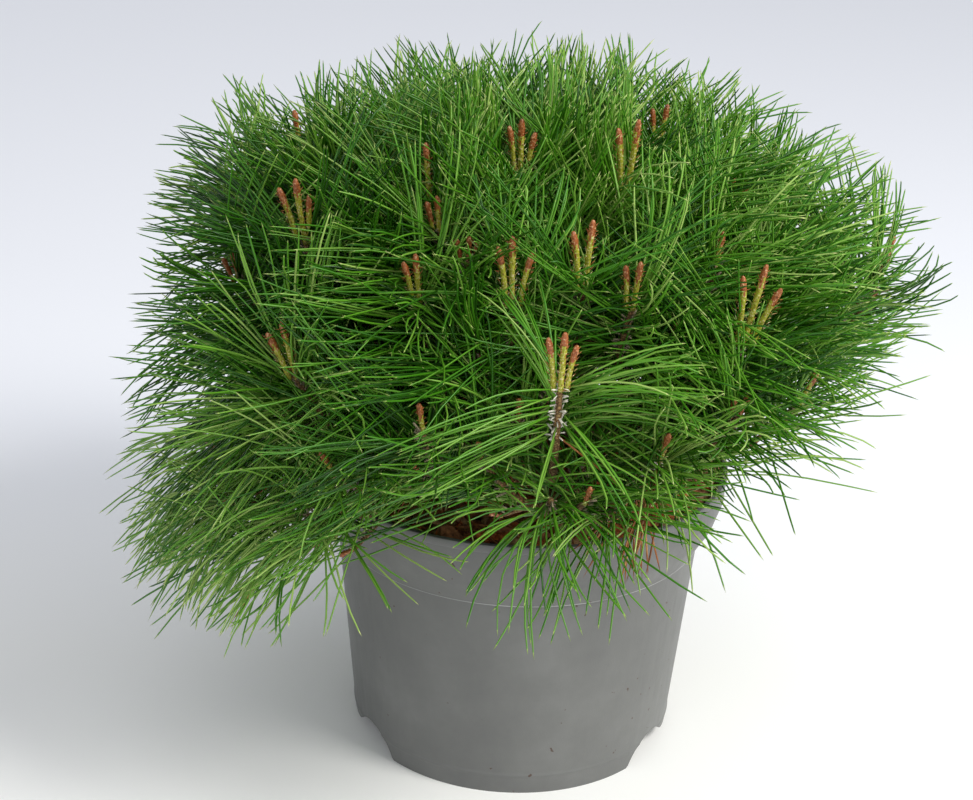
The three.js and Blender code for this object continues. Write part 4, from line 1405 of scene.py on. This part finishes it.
grown = np.zeros(needle_total, bool)
grown_curve = np.zeros((needle_total, len(needle_stations), 3))
grown_start = np.zeros((needle_total, 3))
for droop_share, size_share in growth_tries:
    which = np.flatnonzero(~grown)
    root, run, start = needle_curves(which, droop_share, needle_stations)
    size = shortened(root, run, own_length[which] * size_share, own_overreach[which])
    test_run = needle_curves(which, droop_share, test_stations)[1]
    points = root[:, None] + test_run * size[:, None, None]
    free = (size > own_length[which] * shortest_share) & ~pair_is_lost[needle_pair[which]]
    free &= over_skirt(points, which) & open_to_view(which)
    free &= clear_of_pot(points)
    free &= clear_of_limbs(points)
    free &= clear_of_candles(points, needle_shoot[which])
    kept = which[free]
    grown_curve[kept] = root[free][:, None] + run[free] * size[free][:, None, None]
    grown_start[kept] = start[free]
    grown[kept] = True


# Greens by age and light: plain base colours, dealt out by spray and a little by needle, with
# paler yellow-green ends. Sprays at the top, at the left and low down, most of all low at the front,
# are given lighter greens as painted light. The wax on a needle gives it a soft sheen.
needle_greens = ["#1a4504", "#275b07", "#3a750f", "#51881d", "#6e9c36", "#92b158"]
needle_end_greens = ["#506b22", "#607d2c", "#728e3a", "#87a04b", "#9db15f", "#b6c279"]
spray_tone_middle = 2.55
spray_tone_spread = 0.95
side_shoot_darker = 0.7
painted_light_on_top = 0.6
painted_light_at_left = 0.4
painted_light_when_low = 2.2
painted_light_low_in_front = 0.5
needle_tone_spread = 0.85
needle_radius_spread = 0.07


def needle_material(name, colour):
    """Living pine needle: a waxed, evenly green skin, whose lines of 1.4 mm only show in the sheen."""
    return noise_material(name, (700, 1), bump=(0.12, 0.0003), IOR=1.46, Roughness=0.36,
                          Specular_IOR_Level=0.43, Base_Color=linear(colour))


needle_materials = [
    needle_material(f"{kind} {number + 1}", colour)
    for kind, colours in (("needle green", needle_greens), ("needle end", needle_end_greens))
    for number, colour in enumerate(colours)]
spray_tone = needle_random.normal(spray_tone_middle, spray_tone_spread, shoot_total)
spray_tone -= np.where(is_main, 0.0, side_shoot_darker)
# Painted light: lighter greens for sprays at the top, at the left and low down, most low at the front.
spray_tone += np.interp(toward[:, 2], [0.5, 0.9], [0, painted_light_on_top])
spray_tone += np.interp(toward[:, 0], [-0.8, -0.3], [painted_light_at_left, 0])
spray_tone[is_open] = open_spray_tone
spray_tone += painted_light_when_low * np.maximum(sag_below - toward[:, 2], 0)
spray_tone += np.interp(toward[:, 1], [-0.9, -0.5], [painted_light_low_in_front, 0]) * (toward[:, 2] < sag_below)
spray_tone[hanging_chance > 0.5] = hanging_spray_tone
needle_tone = spray_tone[needle_shoot] + needle_random.normal(0, needle_tone_spread, needle_total)
needle_tone = np.clip(np.rint(needle_tone), 0, len(needle_greens) - 1).astype(int)
needle_mass = owner[needle_shoot]
for number, bough in enumerate(boughs):
    own = np.flatnonzero(grown & (needle_mass == number))
    own_radius = needle_radius * needle_random.normal(1.0, needle_radius_spread, (len(own), 1))
    radii = own_radius * needle_thickness
    vertices, faces, needle_of_face, ring_of_face = tubes(grown_curve[own], radii, 3)
    is_end = ring_of_face == len(needle_stations) - 2
    make_piece(f"long_needles_{bough['label']}", vertices, faces, needle_materials, "needles",
               face_materials=needle_tone[own][needle_of_face] + len(needle_greens) * is_end)


# Sheaths: the dry, papery grey sleeves, 4 to 8 mm long, that hold the two needles of each pair and
# stand on the twig where the pair leaves it. Those of a few shoots at the front are paler.
sheath_stations = np.array([0, 0.85, 1.0])
sheath_taper = np.array([1.0, 0.85, 0.0])
sheath_sizes = (0.65, 1.15)


def sheath_material(name, colour):
    """Dry papery sheath: pale and matt, with fibres of under a millimetre, and ragged at its end."""
    return noise_material(name, (1500, 2), bump=(0.4, 0.0004), IOR=1.45, Roughness=0.8,
                          Base_Color=linear(colour))


twins = grown.reshape(-1, 2)
held = np.flatnonzero(twins.any(1))
sheath_heading = np.where(twins[held, :1], grown_start[held * 2], grown_start[held * 2 + 1])
is_pale_sheath = np.isin(shown_of_shoot[pair_shoot[held]], pale_sheath_shoots)
own_tilt = needle_random.normal(0, sheath_tilt, (len(held), 3))
sheath_heading = unit(sheath_heading + is_pale_sheath[:, None] * own_tilt)
sheath_size = needle_random.uniform(*sheath_sizes, len(held))
sheath_size = sheath_size * np.where(is_pale_sheath, pale_sheath_share, 1.0)
sheath_run = sheath_heading * (sheath_length * sheath_size)[:, None]
sheath_path = pair_root[held][:, None] + sheath_run[:, None] * sheath_stations[None, :, None]
sheath_radii = sheath_radius * sheath_size[:, None] * sheath_taper
sheath_materials = [sheath_material("weathered needle sheath", "#94886f"),
                    sheath_material("papery needle sheath", "#d6d1c2")]
sheath_vertices, sheath_faces, sheath_of_face, _ = tubes(sheath_path, sheath_radii, 3)
make_piece("needle_sheaths", sheath_vertices, sheath_faces, sheath_materials, "bark",
           face_materials=is_pale_sheath[sheath_of_face])


# Dead needles: a few old ones, dry and red-brown, that still hang by the feet of the sprays all over
# the crown, and a bunch of shorter ones that hang under one shoot over the pot's front rim.
dead_total = 55
dead_on_dry_shoot = 26
dead_at_foot_of_spray = 18
dry_shoot = 15
dry_fall = np.array([-0.45, -0.35, -1.9])
dead_fall_elsewhere = np.array([0, 0, -1.2])
dead_set_back = (0.012, 0.004)
dead_lengths = (0.8, 0.58)
dry_below_skirt = 0.03
dead_bend = 0.16
dead_pair = np.concatenate([
    needle_random.choice(np.flatnonzero(pair_rank < dead_at_foot_of_spray), dead_total, replace=False),
    needle_random.choice(np.flatnonzero(shown_of_shoot[pair_shoot] == dry_shoot), dead_on_dry_shoot,
                         replace=False)])
is_dry = (np.arange(len(dead_pair)) >= dead_total).astype(int)
dead_root = pair_root[dead_pair] - pair_axis[dead_pair] * np.take(dead_set_back, is_dry)[:, None]
dead_fall = unit(pair_heading[dead_pair] + np.where(is_dry[:, None], dry_fall, dead_fall_elsewhere))
dead_s = np.linspace(0, 1, 6)[None, :, None]
dead_length = needle_length * np.take(dead_lengths, is_dry)[:, None, None]
dead_path = dead_root[:, None] + dead_length * (
    dead_s * dead_fall[:, None]
    + 0.5 * dead_s**2 * needle_random.normal(0, dead_bend, (len(dead_pair), 1, 3)))
dead_low = skirt_height(dead_path[:, -1]) - dry_below_skirt * is_dry
dead_path = dead_path[clear_of_pot(dead_path[:, 1:]) & (dead_path[:, -1, 2] > dead_low)]
dead_radii = np.full(dead_path.shape[:2], litter_radius)
make_piece("dead_needles", *tubes(dead_path, dead_radii, 3)[:2], [dead_needle], "needles")


# Floor: one wide, flat, pale sheet with a matt painted finish, on which the pot stands. It isn't part
# of the object, so it is staged for the picture alone.
floor_radius = 7.0
floor_rings = 24
floor_columns = 96


def matt_paint():
    """Matt paint: near white round the object, and a cooler pale grey further back."""
    material, shader = new_material("matt pale paint", Roughness=0.9)
    depth = add_node(material, "ShaderNodeSeparateXYZ", links={"Vector": object_place(material)})
    share = add_node(material, "ShaderNodeMapRange", {"From Min": 0.05, "From Max": 0.45},
                     {"Value": depth.outputs["Y"]})
    add_node(material, "ShaderNodeValToRGB", links={"Fac": share.outputs["Result"]},
             stops=[(0.0, linear("#f0f0ee")), (1.0, linear("#eef0f5"))],
             feeds=("Color", shader.inputs["Base Color"]))
    return material


def disc_points():
    """A flat disc: rings whose radius grows with the square of their number, and a middle."""
    radius = floor_radius * (np.arange(1, floor_rings + 1) / floor_rings) ** 2
    around = np.arange(floor_columns) * 2 * np.pi / floor_columns
    rings = np.stack([radius[:, None] * np.cos(around), radius[:, None] * np.sin(around),
                      np.zeros((floor_rings, floor_columns))], -1)
    return np.concatenate([rings.reshape(-1, 3), np.zeros((1, 3))])


first_ring = np.arange(floor_columns)
disc_middle = np.full(floor_columns, floor_rings * floor_columns)
disc_fan = np.stack([first_ring, np.roll(first_ring, -1), disc_middle], -1)
disc_quads = grid_faces(floor_rings, floor_columns)[:, ::-1]
floor_mesh = bpy.data.meshes.new("floor")
floor_mesh.from_pydata(disc_points().tolist(), [], disc_quads.tolist() + disc_fan.tolist())
floor_mesh.materials.append(matt_paint())
floor = bpy.data.objects.new("floor", floor_mesh)
bpy.context.scene.collection.objects.link(floor)


# Light: a large soft lamp high at the front right, which throws the soft shadow to the left, a weaker
# one from the front left, and an even pale surround.
def soft_lamp(name, place, target, size, power, colour):
    """A square area lamp at a place, turned to look at its target."""
    lamp = bpy.data.objects.new(name, bpy.data.lights.new(name, "AREA"))
    lamp.data.size = size
    lamp.data.energy = power
    lamp.data.color = linear(colour)[:3]
    away = unit(np.array(place) - np.array(target))
    side = unit(np.cross(straight_up, away))
    axes_of_lamp = np.eye(4)
    axes_of_lamp[:3, 0] = side
    axes_of_lamp[:3, 1] = np.cross(away, side)
    axes_of_lamp[:3, 2] = away
    axes_of_lamp[:3, 3] = place
    lamp.matrix_world = Matrix(axes_of_lamp.tolist())
    bpy.context.scene.collection.objects.link(lamp)


lamp_target = (0, 0, 0.2)
soft_lamp("main_lamp", (1.35, -0.95, 1.75), lamp_target, size=0.8, power=50, colour="#fffdf8")
soft_lamp("fill_lamp", (-0.5, -1.8, 1.5), lamp_target, size=1.2, power=4, colour="#f2f6ff")
surround = bpy.data.worlds.new("surround")
bpy.context.scene.world = surround
surround.use_nodes = True
surround_light = surround.node_tree.nodes["Background"].inputs
surround_light["Color"].default_value = linear("#edeff4")
surround_light["Strength"].default_value = 0.80
